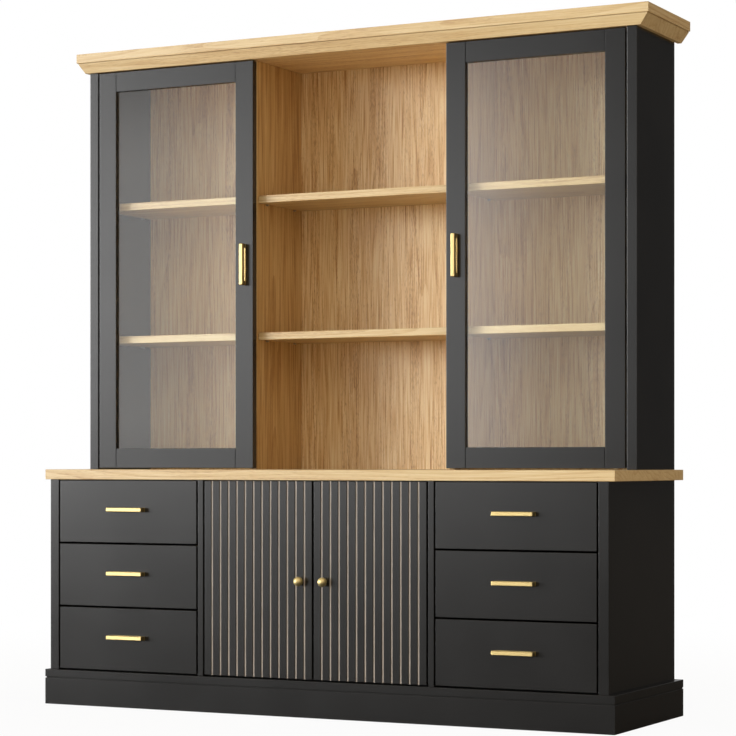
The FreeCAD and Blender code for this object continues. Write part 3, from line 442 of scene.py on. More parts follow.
# Board: an outline run along an axis. Where its ends are softened, a point moves in from the
# outline by softness x (1 - cos angle), and along by softness x sin angle. An end is a
# place on the axis, or a function of the outline's two coordinates, for a mitre
def board(corners, axis, low, high, softness, endSoftness=None, steps=3):
    flat, facing = softOutline(corners, softness, steps)
    easings = np.broadcast_to(np.max(softness) if endSoftness is None else endSoftness, 2)
    points, normals = [], []
    for end, way, easing in ((low, -1, easings[0]), (high, 1, easings[1])):
        angles = np.linspace(0, math.pi / 2, steps + 1) if easing else np.zeros(1)
        place = end(flat[:, 0], flat[:, 1]) if callable(end) else end
        for angle in (angles[::-1] if way < 0 else angles):
            moved = flat - facing * easing * (1 - math.cos(angle))
            points.append(inSpace(moved, place - way * easing * (1 - math.sin(angle)), axis))
            normals.append(inSpace(facing * math.cos(angle), way * math.sin(angle), axis))
    count = len(flat)
    faces = ringFaces(len(points), count)
    last = (len(points) - 1) * count
    points, normals = np.concatenate(points), np.concatenate(normals)
    # Flat ends, with corners of their own so that they stay flat in the light
    for start, way in ((0, -1), (last, 1)):
        ring = np.arange(count)
        extra = len(points)
        points = np.concatenate([points, points[start:start + count]])
        normals = np.concatenate([normals, inSpace(np.zeros((count, 2)), way, axis)])
        faces.append((extra + (ring if way > 0 else ring[::-1])).tolist())
    return points, normals, faces


# Rectangular board between two corners, softened all round, run along its longest side
def block(low, high, softness, steps=3):
    low, high = np.asarray(low, float), np.asarray(high, float)
    axis = int(np.argmax(high - low))
    a, b = (axis + 1) % 3, (axis + 2) % 3
    corners = [(low[a], low[b]), (high[a], low[b]), (high[a], high[b]), (low[a], high[b])]
    return board(corners, axis, low[axis], high[axis], softness, steps=steps)


# Points round a circle of radius one, at even angles
def circle(around):
    angles = np.arange(around) * math.tau / around
    return np.stack([np.cos(angles), np.sin(angles)], axis=1)


# Turned part: a profile of (along, radius) spun about an axis through a centre. The profile
# runs from the foot out to the tip; it closes where the radius is nought
def turned(profile, axis, centre, way=1, around=40):
    profile = np.asarray(profile, float)
    # One more point beyond the tip, so that the slope is level there
    beyond = profile[-2] * (1, -1)
    slope = np.gradient(np.concatenate([profile, [beyond]]), axis=0)[:-1]
    slope /= np.linalg.norm(slope, axis=1)[:, None]
    spin = circle(around)
    points, normals = [], []
    for (along, radius), (rise, spread) in zip(profile, slope):
        points.append(inSpace(spin * radius, along * way, axis))
        normals.append(inSpace(spin * rise, -spread * way, axis))
    faces = ringFaces(len(profile), around)
    if way < 0:
        faces = [face[::-1] for face in faces]
    return np.concatenate(points) + np.asarray(centre), np.concatenate(normals), faces


# The same part on the other side of the middle
def mirrored(part):
    points, normals, faces = part
    flip = np.array([-1, 1, 1])
    return points * flip, normals * flip, [face[::-1] for face in faces]


# Round blind holes in the largest face that looks a given way. Each hole is its centre on
# the face, its radius and its depth
def drilled(part, way, holes, around=32):
    points, normals, faces = part
    way = np.asarray(way, float)
    flatFaces = [face for face in faces if np.all(normals[face] @ way > 0.999)]
    target = max(flatFaces, key=lambda face: np.prod(np.sort(np.ptp(points[face], axis=0))[1:]))
    faces = [face for face in faces if face is not target]
    parts = [(points, normals, faces)]
    axis = int(np.argmax(np.abs(way)))
    side = way[axis]
    spin = circle(around)
    loops = [points[target]]
    for centre, radius, depth in holes:
        mouth = inSpace(spin * radius, 0, axis) + np.asarray(centre)
        loops.append(mouth)
        floor = mouth - way * depth
        inwards = inSpace(-spin, 0, axis)
        wall = ringFaces(2, around)
        if side < 0:
            wall = [face[::-1] for face in wall]
        parts.append((np.concatenate([mouth, floor]), np.concatenate([inwards, inwards]), wall))
        ring = list(range(around))
        parts.append((floor, np.tile(way, (around, 1)), [ring if side > 0 else ring[::-1]]))
    everything = np.concatenate(loops)
    triangles = []
    for triangle in tessellate_polygon([[Vector(p) for p in loop] for loop in loops]):
        a, b, c = everything[list(triangle)]
        outwards = np.dot(np.cross(b - a, c - a), way) > 0
        triangles.append(list(triangle) if outwards else list(triangle)[::-1])
    parts.append((everything, np.tile(way, (len(everything), 1)), triangles))
    return joinedParts(parts)


def joinedParts(parts):
    points, normals, faces, start = [], [], [], 0
    for partPoints, partNormals, partFaces in parts:
        points.append(partPoints)
        normals.append(partNormals)
        faces += [[start + i for i in face] for face in partFaces]
        start += len(partPoints)
    return np.concatenate(points), np.concatenate(normals), faces


weldStep = 0.002 * mm


def newObject(name, data):
    made = bpy.data.objects.new(name, data)
    bpy.context.scene.collection.objects.link(made)
    return made


# Makes one object of the parts, each welded where its own points meet and shaded by its own
# normals. It moves with the body of the CAD node that it stands for and takes its slot
def makePiece(name, parts, material, node, hides=True):
    places, polygons, corners, start = [], [], [], 0
    for points, normals, faces in parts:
        cells = np.round(points / weldStep).astype(np.int64)
        firsts, index = np.unique(cells, axis=0, return_index=True, return_inverse=True)[1:]
        index = index.reshape(-1) + start
        for face in faces:
            welded = index[face]
            kept = [i for i in range(len(face)) if welded[i] != welded[i - 1]]
            if len(kept) > 2:
                polygons.append([int(welded[i]) for i in kept])
                corners += [tuple(normals[face[i]]) for i in kept]
        places.append(points[firsts])
        start += len(firsts)
    mesh = bpy.data.meshes.new(name)
    mesh.from_pydata(np.concatenate(places).tolist(), [], polygons)
    mesh.polygons.foreach_set("use_smooth", [True] * len(mesh.polygons))
    mesh.normals_split_custom_set(corners)
    mesh.materials.append(material)
    piece = newObject(name, mesh)
    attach(piece, bodyOf[node])
    if hides:
        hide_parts(node)
    return piece


# Gives a piece a second material on the faces that `chosen` picks
def secondMaterial(piece, material, chosen):
    piece.data.materials.append(material)
    for polygon in piece.data.polygons:
        polygon.material_index = int(chosen(polygon))


record = frame["record"]
bodyOf = {name: body for body, members in record["behaviour"]["bodies"].items()
          for name in members}
edge = 1.2 * mm
carcass = {"endPanel": 30 * mm, "panel": 18 * mm, "shelf": 22 * mm, "shelfPlay": 1 * mm}


# Middle of a CAD node's box
def middleOf(node):
    low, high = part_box(node)
    return [(low[axis] + high[axis]) / 2 for axis in range(3)]


# A part on the right, and its mirror on the left
def pair(part):
    return [part, mirrored(part)]


# Plain slab with softened edges
def makeSlab(name, node, material):
    makePiece(name, [block(*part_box(node), edge)], material, node)


# Thick end panels, notched at the foot for the plinth board
def makeBaseSides():
    (_, front, low), (right, back, high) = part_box("base_sides")
    _, (_, notchBack, notchTop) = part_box("plinth_front")
    corners = [(notchBack, low), (back, low), (back, high), (front, high), (front, notchTop),
               (notchBack, notchTop)]
    end = board(corners, 0, right - carcass["endPanel"], right, edge)
    makePiece("baseEndPanels", pair(end), paint, "base_sides")


def makeUprights(name, node, thickness, material):
    (_, front, low), (right, back, high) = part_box(node)
    upright = block((right - thickness, front, low), (right, back, high), edge)
    return makePiece(name, pair(upright), material, node)


def makeShelves():
    (_, front, low), (right, back, high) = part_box("side_bay_shelves")
    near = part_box("hutch_dividers")[1][0] + carcass["shelfPlay"]
    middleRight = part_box("centre_bay_shelves")[1][0]
    thickness = carcass["shelf"]
    sideShelves, middleShelves = [], []
    for top in (low + thickness, high):
        under = top - thickness
        sideShelves += pair(block((near, front, under), (right, back, top), edge))
        middleShelves.append(block((-middleRight, front, under), (middleRight, back, top), edge))
    makePiece("sideBayShelves", sideShelves, oakLengthwise, "side_bay_shelves")
    makePiece("middleBayShelves", middleShelves, oakLengthwise, "centre_bay_shelves")


# Plinth: a main face, a small groove and a cap, mitred at the front corners
plinth = {"board": 18 * mm, "grooveLow": 79 * mm, "grooveTop": 82 * mm, "grooveDepth": 3 * mm,
          "grooveCorner": 0.4 * mm, "hiddenEdge": 0.3 * mm}


def makePlinth():
    (_, front, low), (right, _, top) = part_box("plinth_front")
    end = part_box("plinth_sides")[1][1]
    profile = [(0, low), (0, plinth["grooveLow"]), (plinth["grooveDepth"], plinth["grooveLow"]),
               (plinth["grooveDepth"], plinth["grooveTop"]), (0, plinth["grooveTop"]), (0, top),
               (plinth["board"], top), (plinth["board"], low)]
    crease, hidden = plinth["grooveCorner"], plinth["hiddenEdge"]
    soft = [hidden, edge, crease, crease, edge, edge, hidden, hidden]
    corner = right + front
    frontCorners = [(front + inwards, z) for inwards, z in profile][::-1]
    frontBoard = board(frontCorners, 0, lambda y, z: y - corner, lambda y, z: corner - y,
                       soft[::-1], 0)
    sideCorners = [(z, right - inwards) for inwards, z in profile][::-1]
    sideBoard = board(sideCorners, 1, lambda z, x: corner - x, end, soft[::-1], 0)
    makePiece("plinthFrontBoard", [frontBoard], paint, "plinth_front")
    makePiece("plinthSideBoards", pair(sideBoard), paint, "plinth_sides")


# Crown: a bevel that leans out to a plain fascia, with a small step and a groove between,
# mitred at the front corners and hooked over the top panel. The grain of the side bevels runs
# up the slope
crown = {"fascia": 28 * mm, "step": 2.5 * mm, "lap": 20 * mm, "footSide": 12.5 * mm,
         "footFront": 7.5 * mm, "outSide": 39 * mm, "outFront": 17 * mm, "grooveHeight": 1.6 * mm,
         "grooveDepth": 2.5 * mm, "grooveCorner": 0.2 * mm, "bevelEdge": 0.5 * mm,
         "footEdge": 0.8 * mm, "hiddenEdge": 0.3 * mm}


def makeCrown():
    (_, _, low), (sideOut, end, top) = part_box("crown_sides")
    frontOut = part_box("crown_front")[0][1]
    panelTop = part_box("hutch_top")[1][2]
    line = frontOut + crown["outFront"]
    half = sideOut - crown["outSide"]
    fascia = top - crown["fascia"]

    def profile(foot, out):
        underStep = crown["step"] - out
        grooveLow = fascia - crown["grooveHeight"]
        onBevel = np.interp(grooveLow, [low, fascia], [-foot, underStep])
        inGroove = underStep + crown["grooveDepth"]
        return [(-foot, low), (0, low), (0, panelTop), (crown["lap"], panelTop),
                (crown["lap"], top), (-out, top), (-out, fascia), (inGroove, fascia),
                (inGroove, grooveLow), (onBevel, grooveLow)]

    # The mitre: how much further out the side moulding is than the front one, at each height
    def spread(z):
        atFoot = crown["footSide"] - crown["footFront"]
        atTop = crown["outSide"] - crown["outFront"]
        return np.interp(z, [low, fascia], [atFoot, atTop])

    crease, hidden = crown["grooveCorner"], crown["hiddenEdge"]
    soft = [crown["footEdge"], hidden, hidden, hidden, edge, edge, edge, crease, crease,
            crown["bevelEdge"]]
    frontCorners = [(line + inwards, z) for inwards, z in
                    profile(crown["footFront"], crown["outFront"])]
    reach = half + line
    front = board(frontCorners, 0, lambda y, z: y - reach - spread(z),
                  lambda y, z: reach + spread(z) - y, soft, 0)
    sideCorners = [(z, half - inwards) for inwards, z in
                   profile(crown["footSide"], crown["outSide"])]
    side = board(sideCorners, 1, lambda z, x: reach + spread(z) - x, end, soft, 0)
    makePiece("crownFront", [front], oakLengthwise, "crown_front")
    mouldings = makePiece("crownSides", pair(side), oakFrontToBack, "crown_sides")
    # The bevels, which look down and out
    secondMaterial(mouldings, oakUpright, lambda face: -0.95 < face.normal.z < -0.3)


# Cupboard doors: a slab with upright grooves between softened slats, bored for the hinge cups
slats = {"count": 13, "groove": 5.5 * mm, "depth": 4 * mm, "slatEdge": 0.9 * mm,
         "grooveCorner": 0.3 * mm}
hingeCup = {"radius": 17.6 * mm, "depth": 11.7 * mm, "inset": 22.5 * mm,
            "fromDoorEnd": 80 * mm, "fromGlassEnd": 110 * mm}


def makeCupboardDoors():
    for side in sides:
        node = f"{side}_cupboard_door_panel"
        (left, front, low), (right, back, high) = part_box(node)
        groove, lip, crease = slats["groove"], slats["slatEdge"], slats["grooveCorner"]
        slat = (right - left - (slats["count"] - 1) * groove) / slats["count"]
        floor = front + slats["depth"]
        corners, soft = [(left, front)], [edge]
        for number in range(1, slats["count"]):
            start = left + number * (slat + groove) - groove
            corners += [(start, front), (start, floor), (start + groove, floor),
                        (start + groove, front)]
            soft += [lip, crease, crease, lip]
        corners += [(right, front), (right, back), (left, back)]
        soft += [edge, edge, edge]
        inset = hingeCup["inset"]
        cupX = right - inset if side == "right" else left + inset
        holes = [((cupX, back, z), hingeCup["radius"], hingeCup["depth"])
                 for z in (low + hingeCup["fromDoorEnd"], high - hingeCup["fromDoorEnd"])]
        panel = drilled(board(corners, 2, low, high, soft, lip), (0, 1, 0), holes)
        makePiece(f"{side}SlattedDoor", [panel], paint, node)


# Glass doors: stiles and rails rebated at the back for the pane, with beads behind it. A fine
# line in the front shows where each rail meets its stiles
doorFrame = {"width": 60 * mm, "rebate": 8 * mm, "rebateDepth": 13 * mm, "pane": 4 * mm,
             "paneSeat": 7 * mm, "joint": 0.5 * mm, "bead": 0.4 * mm, "lineWidth": 2.2 * mm,
             "lineDepth": 3.5 * mm, "lineEdge": 0.2 * mm}


def makeGlassDoorFrames():
    betweenShelves = middleOf("side_bay_shelves")[2]
    width, rebate, joint = doorFrame["width"], doorFrame["rebate"], doorFrame["joint"]
    for side in sides:
        node = f"{side}_glass_door_frame"
        (left, front, low), (right, back, high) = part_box(node)
        rebateFront = back - doorFrame["rebateDepth"]
        sightLow, sightHigh = low + width, high - width
        parts = []
        for outer, way in ((left, 1), (right, -1)):
            sight = outer + way * width
            seated = sight - way * rebate
            plain = [(outer, front), (sight, front), (sight, back), (outer, back)][::way]
            rebated = [(outer, front), (sight, front), (sight, rebateFront),
                       (seated, rebateFront), (seated, back), (outer, back)][::way]
            soft = [edge, joint, joint, edge]
            middle = board(rebated, 2, sightLow - rebate, sightHigh + rebate,
                           [edge, joint, joint, joint, joint, edge], 0)
            if (way > 0) == (side == "left"):
                cupX = outer + way * hingeCup["inset"]
                heights = (low + hingeCup["fromGlassEnd"], betweenShelves,
                           high - hingeCup["fromGlassEnd"])
                middle = drilled(middle, (0, 1, 0),
                                 [((cupX, back, z), hingeCup["radius"], hingeCup["depth"])
                                  for z in heights])
            parts += [board(plain, 2, low, sightLow - rebate, soft, (edge, 0)), middle,
                      board(plain, 2, sightHigh + rebate, high, soft, (0, edge))]
        inLeft, inRight, line = left + width, right - width, doorFrame["lineWidth"]
        skinBack = front + doorFrame["lineDepth"]
        for outer, way in ((low, 1), (high, -1)):
            sight = outer + way * width
            seated = sight - way * rebate
            rebated = [(skinBack, outer), (back, outer), (back, seated), (rebateFront, seated),
                       (rebateFront, sight), (skinBack, sight)][::way]
            skin = [(front, outer), (skinBack, outer), (skinBack, sight), (front, sight)][::way]
            parts += [board(rebated, 0, inLeft, inRight, [0, joint, joint, joint, joint, 0], 0),
                      board(skin, 0, inLeft + line, inRight - line, [edge, 0, 0, joint][::way],
                            doorFrame["lineEdge"])]
        beadFront = rebateFront + doorFrame["pane"]
        seat = doorFrame["paneSeat"]
        bottom, top = sightLow - seat, sightHigh + seat
        for beadLeft, beadRight, beadLow, beadHigh in (
                (inLeft - seat, inLeft, bottom, top), (inRight, inRight + seat, bottom, top),
                (inLeft, inRight, bottom, sightLow), (inLeft, inRight, sightHigh, top)):
            parts.append(block((beadLeft, beadFront, beadLow), (beadRight, back, beadHigh),
                               doorFrame["bead"]))
        makePiece(f"{side}GlassDoorFrame", parts, paint, node)


# Knob: a ball on a cone that widens from the door and runs smoothly into the ball
knob = {"ball": 13.5 * mm, "neck": 4.5 * mm, "reach": 30 * mm, "coneShare": 0.6,
        "ballRings": 22, "coneRings": 4}


def makeKnobs():
    ball = knob["ball"]
    middle = knob["reach"] - ball
    angles = np.linspace(math.pi - math.acos(knob["coneShare"]), 0, knob["ballRings"])
    onBall = np.stack([middle + ball * np.cos(angles), ball * np.sin(angles)], axis=1)
    foot = np.array([(0, knob["neck"])])
    cone = foot + (onBall[0] - foot) * np.linspace(0, 1, knob["coneRings"])[:-1, None]
    profile = np.concatenate([cone, onBall])
    for side in sides:
        node = f"{side}_cupboard_door_knob"
        x, _, z = middleOf(node)
        centre = (x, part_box(f"{side}_cupboard_door_panel")[0][1], z)
        makePiece(f"{side}Knob", [turned(profile, 1, centre, -1)], brassTurnedPaintedLight, node)


# Bar pulls: a square bar on two legs, all its edges rounded, on a thin plate against the door
pull = {"leg": 12 * mm, "bar": 12 * mm, "reach": 22 * mm, "rounding": 2 * mm,
        "plate": 2 * mm, "plateEdge": 0.5 * mm}


def barPull(front, along, across, axis):
    low, high = along
    door = front + pull["reach"]
    foot = door - pull["plate"]
    legIn, legOut = low + pull["leg"], high - pull["leg"]
    barBack = front + pull["bar"]
    corners = [(low, front), (high, front), (high, foot), (legOut, foot), (legOut, barBack),
               (legIn, barBack), (legIn, foot), (low, foot)]
    plate = [(low, foot), (high, foot), (high, door), (low, door)]
    if axis == 0:
        corners = [(y, z) for z, y in corners][::-1]
        plate = [(y, z) for z, y in plate][::-1]
    return [board(corners, axis, *across, pull["rounding"]),
            board(plate, axis, *across, pull["plateEdge"])]


def makePulls():
    for side in sides:
        for drawer, label in drawersOn(side):
            node = f"{drawer}_pull"
            low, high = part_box(node)
            parts = barPull(low[1], (low[0], high[0]), (low[2], high[2]), 2)
            makePiece(f"{label}BarPull", parts, brassAcross, node)
        node = f"{side}_glass_door_handle"
        low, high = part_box(node)
        parts = barPull(low[1], (low[2], high[2]), (low[0], high[0]), 0)
        makePiece(f"{side}BarHandle", parts, brassUpright, node)


# Screw head: a low dome that faces along an axis. Its profile is in shares of height and radius
screwHead = {"height": 2.5 * mm, "radius": 4 * mm, "around": 16,
             "profile": [(0, 1), (0.35, 1), (0.7, 0.86), (0.93, 0.5), (1, 0)]}


def screws(centres, axis, way, height=screwHead["height"], radius=screwHead["radius"]):
    profile = np.array(screwHead["profile"]) * (height, radius)
    return [turned(profile, axis, centre, way, screwHead["around"]) for centre in centres]


# Screws that face the wall. They are extra, so they hide no CAD node
def makeScrews(name, node, centres, size=()):
    makePiece(name, screws(centres, 1, 1, *size), steel, node, False)


# Drawer boxes: four boards round a thin bottom, and a steel rail with a C section on each side
drawerBox = {"board": 12 * mm, "sheet": 5 * mm, "sheetRise": 10 * mm, "softness": 0.8 * mm,
             "railDepth": 11.2 * mm, "railHalf": 20.7 * mm, "railWall": 1.5 * mm,
             "railSetback": 3 * mm, "railEndGap": 17 * mm, "railEdge": 0.4 * mm,
             "sheetEdge": 0.1 * mm}


def drawerRail(face, way, front, back, middle):
    look = drawerBox
    wall, half = look["railWall"], look["railHalf"]
    section = [(-half, 0), (half, 0), (half, look["railDepth"]),
               (half - wall, look["railDepth"]), (half - wall, wall), (wall - half, wall),
               (wall - half, look["railDepth"]), (-half, look["railDepth"])]
    corners = [(middle + up, face + way * out) for up, out in section]
    return board(corners[::way], 1, front + look["railSetback"], back - look["railEndGap"],
                 look["railEdge"], 0)


def makeDrawerBoxes():
    look = drawerBox
    thick, soft = look["board"], look["softness"]
    for drawer, label in drawers:
        node = f"{drawer}_box"
        (railLeft, front, low), (railRight, back, high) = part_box(node)
        left, right = railLeft + look["railDepth"], railRight - look["railDepth"]
        inLeft, inRight = left + thick, right - thick
        inFront, inBack = front + thick, back - thick
        floor = low + look["sheetRise"]
        box = makePiece(f"{label}DrawerBox", [
            block((left, front, low), (inLeft, back, high), soft),
            block((inRight, front, low), (right, back, high), soft),
            block((inLeft, front, low), (inRight, inFront, high), soft),
            block((inLeft, inBack, low), (inRight, back, high), soft),
            block((inLeft, inFront, floor), (inRight, inBack, floor + look["sheet"]),
                  look["sheetEdge"]),
        ], oakFrontToBack, node)
        # The grain of the cross boards and the bottom runs from side to side
        secondMaterial(box, oakLengthwise, lambda face: inLeft < face.center.x < inRight)
        middle = (low + high) / 2
        rails = [drawerRail(left, -1, front, back, middle),
                 drawerRail(right, 1, front, back, middle)]
        makePiece(f"{label}DrawerRails", rails, steel, node, False)


# Screws of the pulls, handles and knobs, seen from inside
def makeHandleScrews():
    leg = pull["leg"] / 2
    for side in sides:
        for drawer, label in drawersOn(side):
            (left, _, _), (right, _, _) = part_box(f"{drawer}_pull")
            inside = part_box(f"{drawer}_box")[0][1] + drawerBox["board"]
            z = middleOf(f"{drawer}_pull")[2]
            makeScrews(f"{label}PullScrews", f"{drawer}_pull",
                       [(left + leg, inside, z), (right - leg, inside, z)])
        handle, knobNode = f"{side}_glass_door_handle", f"{side}_cupboard_door_knob"
        (_, _, low), (_, _, high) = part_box(handle)
        x = middleOf(handle)[0]
        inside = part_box(f"{side}_glass_door_frame")[1][1]
        makeScrews(f"{side}HandleScrews", handle,
                   [(x, inside, low + leg), (x, inside, high - leg)])
        x, _, z = middleOf(knobNode)
        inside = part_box(f"{side}_cupboard_door_panel")[1][1]
        makeScrews(f"{side}KnobScrew", knobNode, [(x, inside, z)])


# Concealed hinges: on the panel a plate with an arm and its nose, on the door a flange with
# its cup, all held by small screws
hinge = {"plate": (14 * mm, 59 * mm), "plateHalf": 25 * mm, "plateThick": 3 * mm,
         "arm": (1.8 * mm, 63.8 * mm), "armHalf": 6 * mm, "armThick": 11 * mm,
         "noseEnd": 9.8 * mm, "nose": 27.5 * mm, "flangeThick": 1.5 * mm, "flangeHalf": 30 * mm,
         "plateEdge": 0.8 * mm, "armEdge": 2 * mm, "noseEdge": 1.5 * mm,
         "cupScrew": 24 * mm, "plateScrew": 18 * mm, "armScrews": (0.4, 0.82),
         "cupHead": (1.2 * mm, 3.2 * mm), "plateHead": (1.8 * mm, 4 * mm),
         "armHead": (0.6 * mm, 3 * mm)}


def hingeArm(face, way, back, height):
    def solid(reach, start, end, half, softness):
        x = sorted((face, face + way * reach))
        return block((x[0], back + start, height - half), (x[1], back + end, height + half),
                     softness)

    (plateStart, plateEnd), (armStart, armEnd) = hinge["plate"], hinge["arm"]
    onPlate = face + way * hinge["plateThick"]
    onArm = face + way * hinge["armThick"]
    middle = back + (plateStart + plateEnd) / 2
    holding = [(onPlate, middle, height - hinge["plateScrew"]),
               (onPlate, middle, height + hinge["plateScrew"])]
    adjusting = [(onArm, back + share * armEnd, height) for share in hinge["armScrews"]]
    half = hinge["armHalf"]
    return [solid(hinge["plateThick"], plateStart, plateEnd, hinge["plateHalf"],
                  hinge["plateEdge"]),
            solid(hinge["armThick"], armStart, armEnd, half, hinge["armEdge"]),
            solid(hinge["nose"], armStart, hinge["noseEnd"], half, hinge["noseEdge"]),
            *screws(holding, 0, way, *hinge["plateHead"]),
            *screws(adjusting, 0, way, *hinge["armHead"])]


def makeHinges():
    betweenShelves = middleOf("side_bay_shelves")[2]
    arms = []
    for side, way in (("left", 1), ("right", -1)):
        for door, panel, thick, more in (
                ("cupboard", "base_dividers", carcass["panel"], []),
                ("glass", "hutch_sides", carcass["endPanel"], [betweenShelves])):
            node = f"{side}_{door}_door_hinge_cups"
            low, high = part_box(node)
            heights = [low[2] + hinge["flangeHalf"], high[2] - hinge["flangeHalf"], *more]
            face = way * (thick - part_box(panel)[1][0])
            arms += [part for height in heights
                     for part in hingeArm(face, way, high[1] - hinge["flangeThick"], height)]
            cup = middleOf(node)[0]
            heads = [(cup, high[1], height + offset) for height in heights
                     for offset in (-hinge["cupScrew"], hinge["cupScrew"])]
            makeScrews(f"{side}{door.capitalize()}HingeScrews", node, heads, hinge["cupHead"])
    makePiece("hingeArms", arms, steel, "hinge_arms")


# Screws of the brackets behind the upper unit, two to each: their heights, how far the outer
# brackets' middles stand in, half the way from screw to screw, and the brackets' thickness
bracketScrews = {"joining": 24 * mm, "wall": 19 * mm, "inset": 20 * mm, "half": 12 * mm,
                 "thick": 2 * mm}


def makeBracketScrews():
    look = bracketScrews
    for name in ("joining", "wall"):
        node = f"{name}_brackets"
        (left, front, low), (right, _, _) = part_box(node)
        middles = [left + look["inset"], right - look["inset"]]
        if name == "joining":
            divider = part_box("hutch_dividers")[1][0] - carcass["panel"]
            middles += [-divider, divider]
        heads = [(x + offset, front + look["thick"], low + look[name]) for x in middles
                 for offset in (-look["half"], look["half"])]
        makeScrews(f"{name}BracketScrews", node, heads)


makeSlab("oakCountertop", "countertop", oakLengthwise)
makeBaseSides()
makeUprights("basePartitions", "base_dividers", carcass["panel"], paint)
makeUprights("hutchEndPanels", "hutch_sides", carcass["endPanel"], paint)
# The partitions' faces to the middle bay carry painted shade: a darker, warmer veneer
partitions = makeUprights("hutchPartitions", "hutch_dividers", carcass["panel"], oakPartitionPaintedShade)
# Faces that look away from the middle bay take the paler veneer of the back panel, as painted
# light on them
secondMaterial(partitions, oakBack, lambda face: face.normal.x * face.center.x > 0.1)
makeShelves()
makePlinth()
makeCrown()
print("stage: cabinet boards made")
for drawer, label in drawers:
    makeSlab(f"{label}DrawerFront", f"{drawer}_front", paint)
makeCupboardDoors()
makeGlassDoorFrames()
makeKnobs()
makePulls()
print("stage: fronts, doors, knobs and pulls made")
makeDrawerBoxes()
makeHandleScrews()
makeHinges()
makeBracketScrews()
makeSlab("cupboardShelf", "cupboard_shelf", carcassBoard)
print("stage: drawer boxes, hinges and screws made")

# Camera: level, turned to the left, with the horizon low in the frame
view = {
    "place": (3.218, -6.2065, 0.731),
    "turn": 27.07,
    "lens": 115.78,
    "sensor": 36.0,
    "raise": 0.1283,
    "reach": 100.0,
}
cameraData = bpy.data.cameras.new("camera")
cameraData.lens = view["lens"]
cameraData.sensor_width = view["sensor"]
cameraData.shift_y = view["raise"]
cameraData.clip_end = view["reach"]
camera = newObject("camera", cameraData)
camera.location = view["place"]
camera.rotation_euler = (math.radians(90), 0, math.radians(view["turn"]))
bpy.context.scene.camera = camera

# Soft studio light. Turns are in degrees from the front to the left, heights above the
# horizon. The windows are far away, each with its middle, half its width and the width of
# its soft edge, both ways. The glows are round patches, warm like the walls of a room. What
# has no tint of its own is white
light = {
    "base": 0.055,
    "windows": [
        # Bright low window to the front left, and the pale wall on both sides of it
        {"turn": (56, 20, 8), "height": (6.5, 9.5, 5), "strength": 22.5},
        {"turn": (46, 24, 3), "height": (4, 7.6, 5), "strength": 2.65},
        {"turn": (27, 4.5, 3), "height": (5, 9, 5), "strength": 0.7},
        {"turn": (23.2, 2.6, 1.2), "height": (5, 7, 2), "strength": 1.1},
    ],
    "glows": [
        {"turn": 0, "height": 90, "spread": (10, 60), "tint": "#fff0dc", "strength": 0.7},
        {"turn": 5, "height": 40, "spread": (5, 30), "tint": "#fff4e6", "strength": 0.92},
        {"turn": -38, "height": 14, "spread": (8, 42), "tint": "#ffefdc", "strength": 0.92},
        {"turn": -115, "height": 45, "spread": (10, 48), "tint": "#ffe9d0", "strength": 0.56},
        {"turn": 153, "height": 14, "spread": (10, 42), "strength": 0.4},
    ],
}


whiteLight = (1.0, 1.0, 1.0, 1.0)


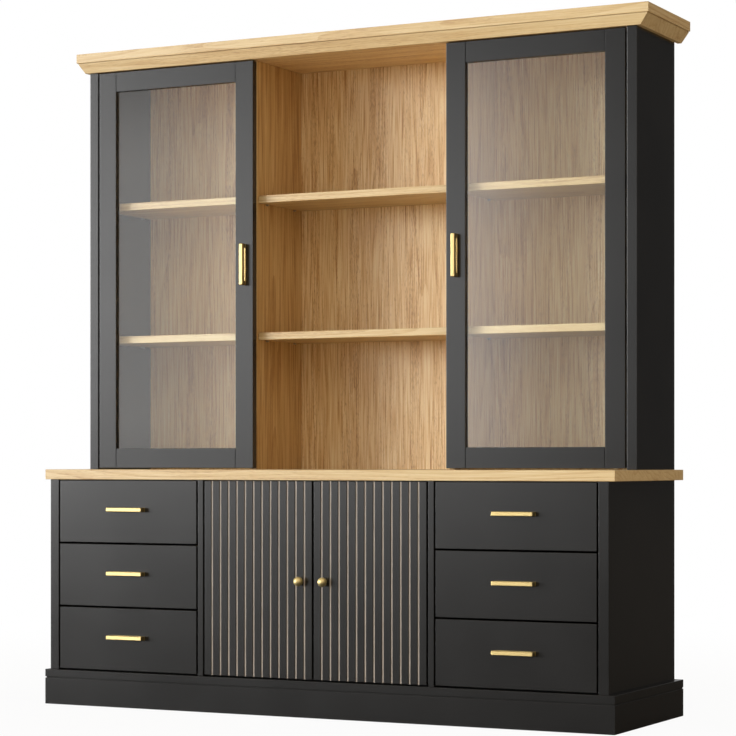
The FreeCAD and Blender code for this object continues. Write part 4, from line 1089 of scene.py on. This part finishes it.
def makeWorld():
    world = bpy.data.worlds.new("studio")
    bpy.context.scene.world = world
    world.use_nodes = True
    tree = world.node_tree
    direction = addNode(tree, "ShaderNodeTexCoord").outputs["Generated"]
    split = addNode(tree, "ShaderNodeSeparateXYZ", {"Vector": direction}).outputs
    left = mathNode(tree, "MULTIPLY", split["X"], -1.0)
    front = mathNode(tree, "MULTIPLY", split["Y"], -1.0)
    turn = mathNode(tree, "ARCTAN2", left, front)
    height = mathNode(tree, "ARCSINE", split["Z"])
    shares = []
    for pane in light["windows"]:
        share = 1.0
        for angle, (middle, half, soft) in ((turn, pane["turn"]), (height, pane["height"])):
            off = mathNode(tree, "SUBTRACT", angle, math.radians(middle))
            inside = rangeNode(tree, mathNode(tree, "ABSOLUTE", off), math.radians(half),
                               math.radians(half - soft))
            share = mathNode(tree, "MULTIPLY", inside, share)
        shares.append((share, pane))
    for glow in light["glows"]:
        glowTurn, glowHeight = math.radians(glow["turn"]), math.radians(glow["height"])
        way = (-math.sin(glowTurn) * math.cos(glowHeight),
               -math.cos(glowTurn) * math.cos(glowHeight), math.sin(glowHeight))
        facing = vectorNode(tree, "DOT_PRODUCT", direction, way, result="Value")
        inner, outer = [math.cos(math.radians(angle)) for angle in glow["spread"]]
        shares.append((rangeNode(tree, facing, outer, inner), glow))
    total = (light["base"],) * 3
    for share, source in shares:
        tint = linearColour(source.get("tint", "#ffffff"))[:3]
        glowing = tuple(value * source["strength"] for value in tint)
        total = vectorNode(tree, "MULTIPLY_ADD", share, glowing, total)
    lit = tree.nodes["Background"]
    tree.links.new(total, lit.inputs["Color"])
    white = addNode(tree, "ShaderNodeBackground", {"Color": whiteLight, "Strength": 1.0})
    _, seen = seenRays(tree)
    showMixed(tree, "World Output", seen, lit.outputs["Background"], white.outputs["Background"])


makeWorld()

# Pale floor that fades into the white behind it and keeps a soft shadow near the hutch. It
# shows dark in the gloss of the paint, so the hutch darkens towards its foot
floorLook = {"colour": "#efefee", "bounce": "#dcd2c2", "mirrored": "#30302f", "size": 60.0,
             "nearShare": 0.94, "fadeFrom": 1.2, "fadeTo": 4.0}


def makeFloor():
    look = floorLook
    half = look["size"] / 2
    mesh = bpy.data.meshes.new("studioFloor")
    corners = [(-half, -half, 0), (half, -half, 0), (half, half, 0), (-half, half, 0)]
    mesh.from_pydata(corners, [], [(0, 1, 2, 3)])
    floor = newObject("studioFloor", mesh)
    material, tree, shader, place = newMaterial("paleFloor", Roughness=0.9)
    distance = vectorNode(tree, "LENGTH", place, result="Value")
    share = rangeNode(tree, distance, look["fadeFrom"], look["fadeTo"], look["nearShare"])
    ray, seen = seenRays(tree)
    colour = linearColour(look["colour"])
    for kind, word in (("Is Diffuse Ray", "bounce"), ("Is Glossy Ray", "mirrored")):
        colour = mixColours(tree, ray[kind], colour, linearColour(look[word]))
    tree.links.new(colour, shader.inputs["Base Color"])
    white = addNode(tree, "ShaderNodeEmission", {"Color": whiteLight, "Strength": 1.0})
    showMixed(tree, "Material Output", mathNode(tree, "MULTIPLY", share, seen),
              shader.outputs["BSDF"], white.outputs["Emission"])
    mesh.materials.append(material)


makeFloor()
bpy.context.scene.view_settings.view_transform = "Standard"
print("stage: camera, light and floor set")
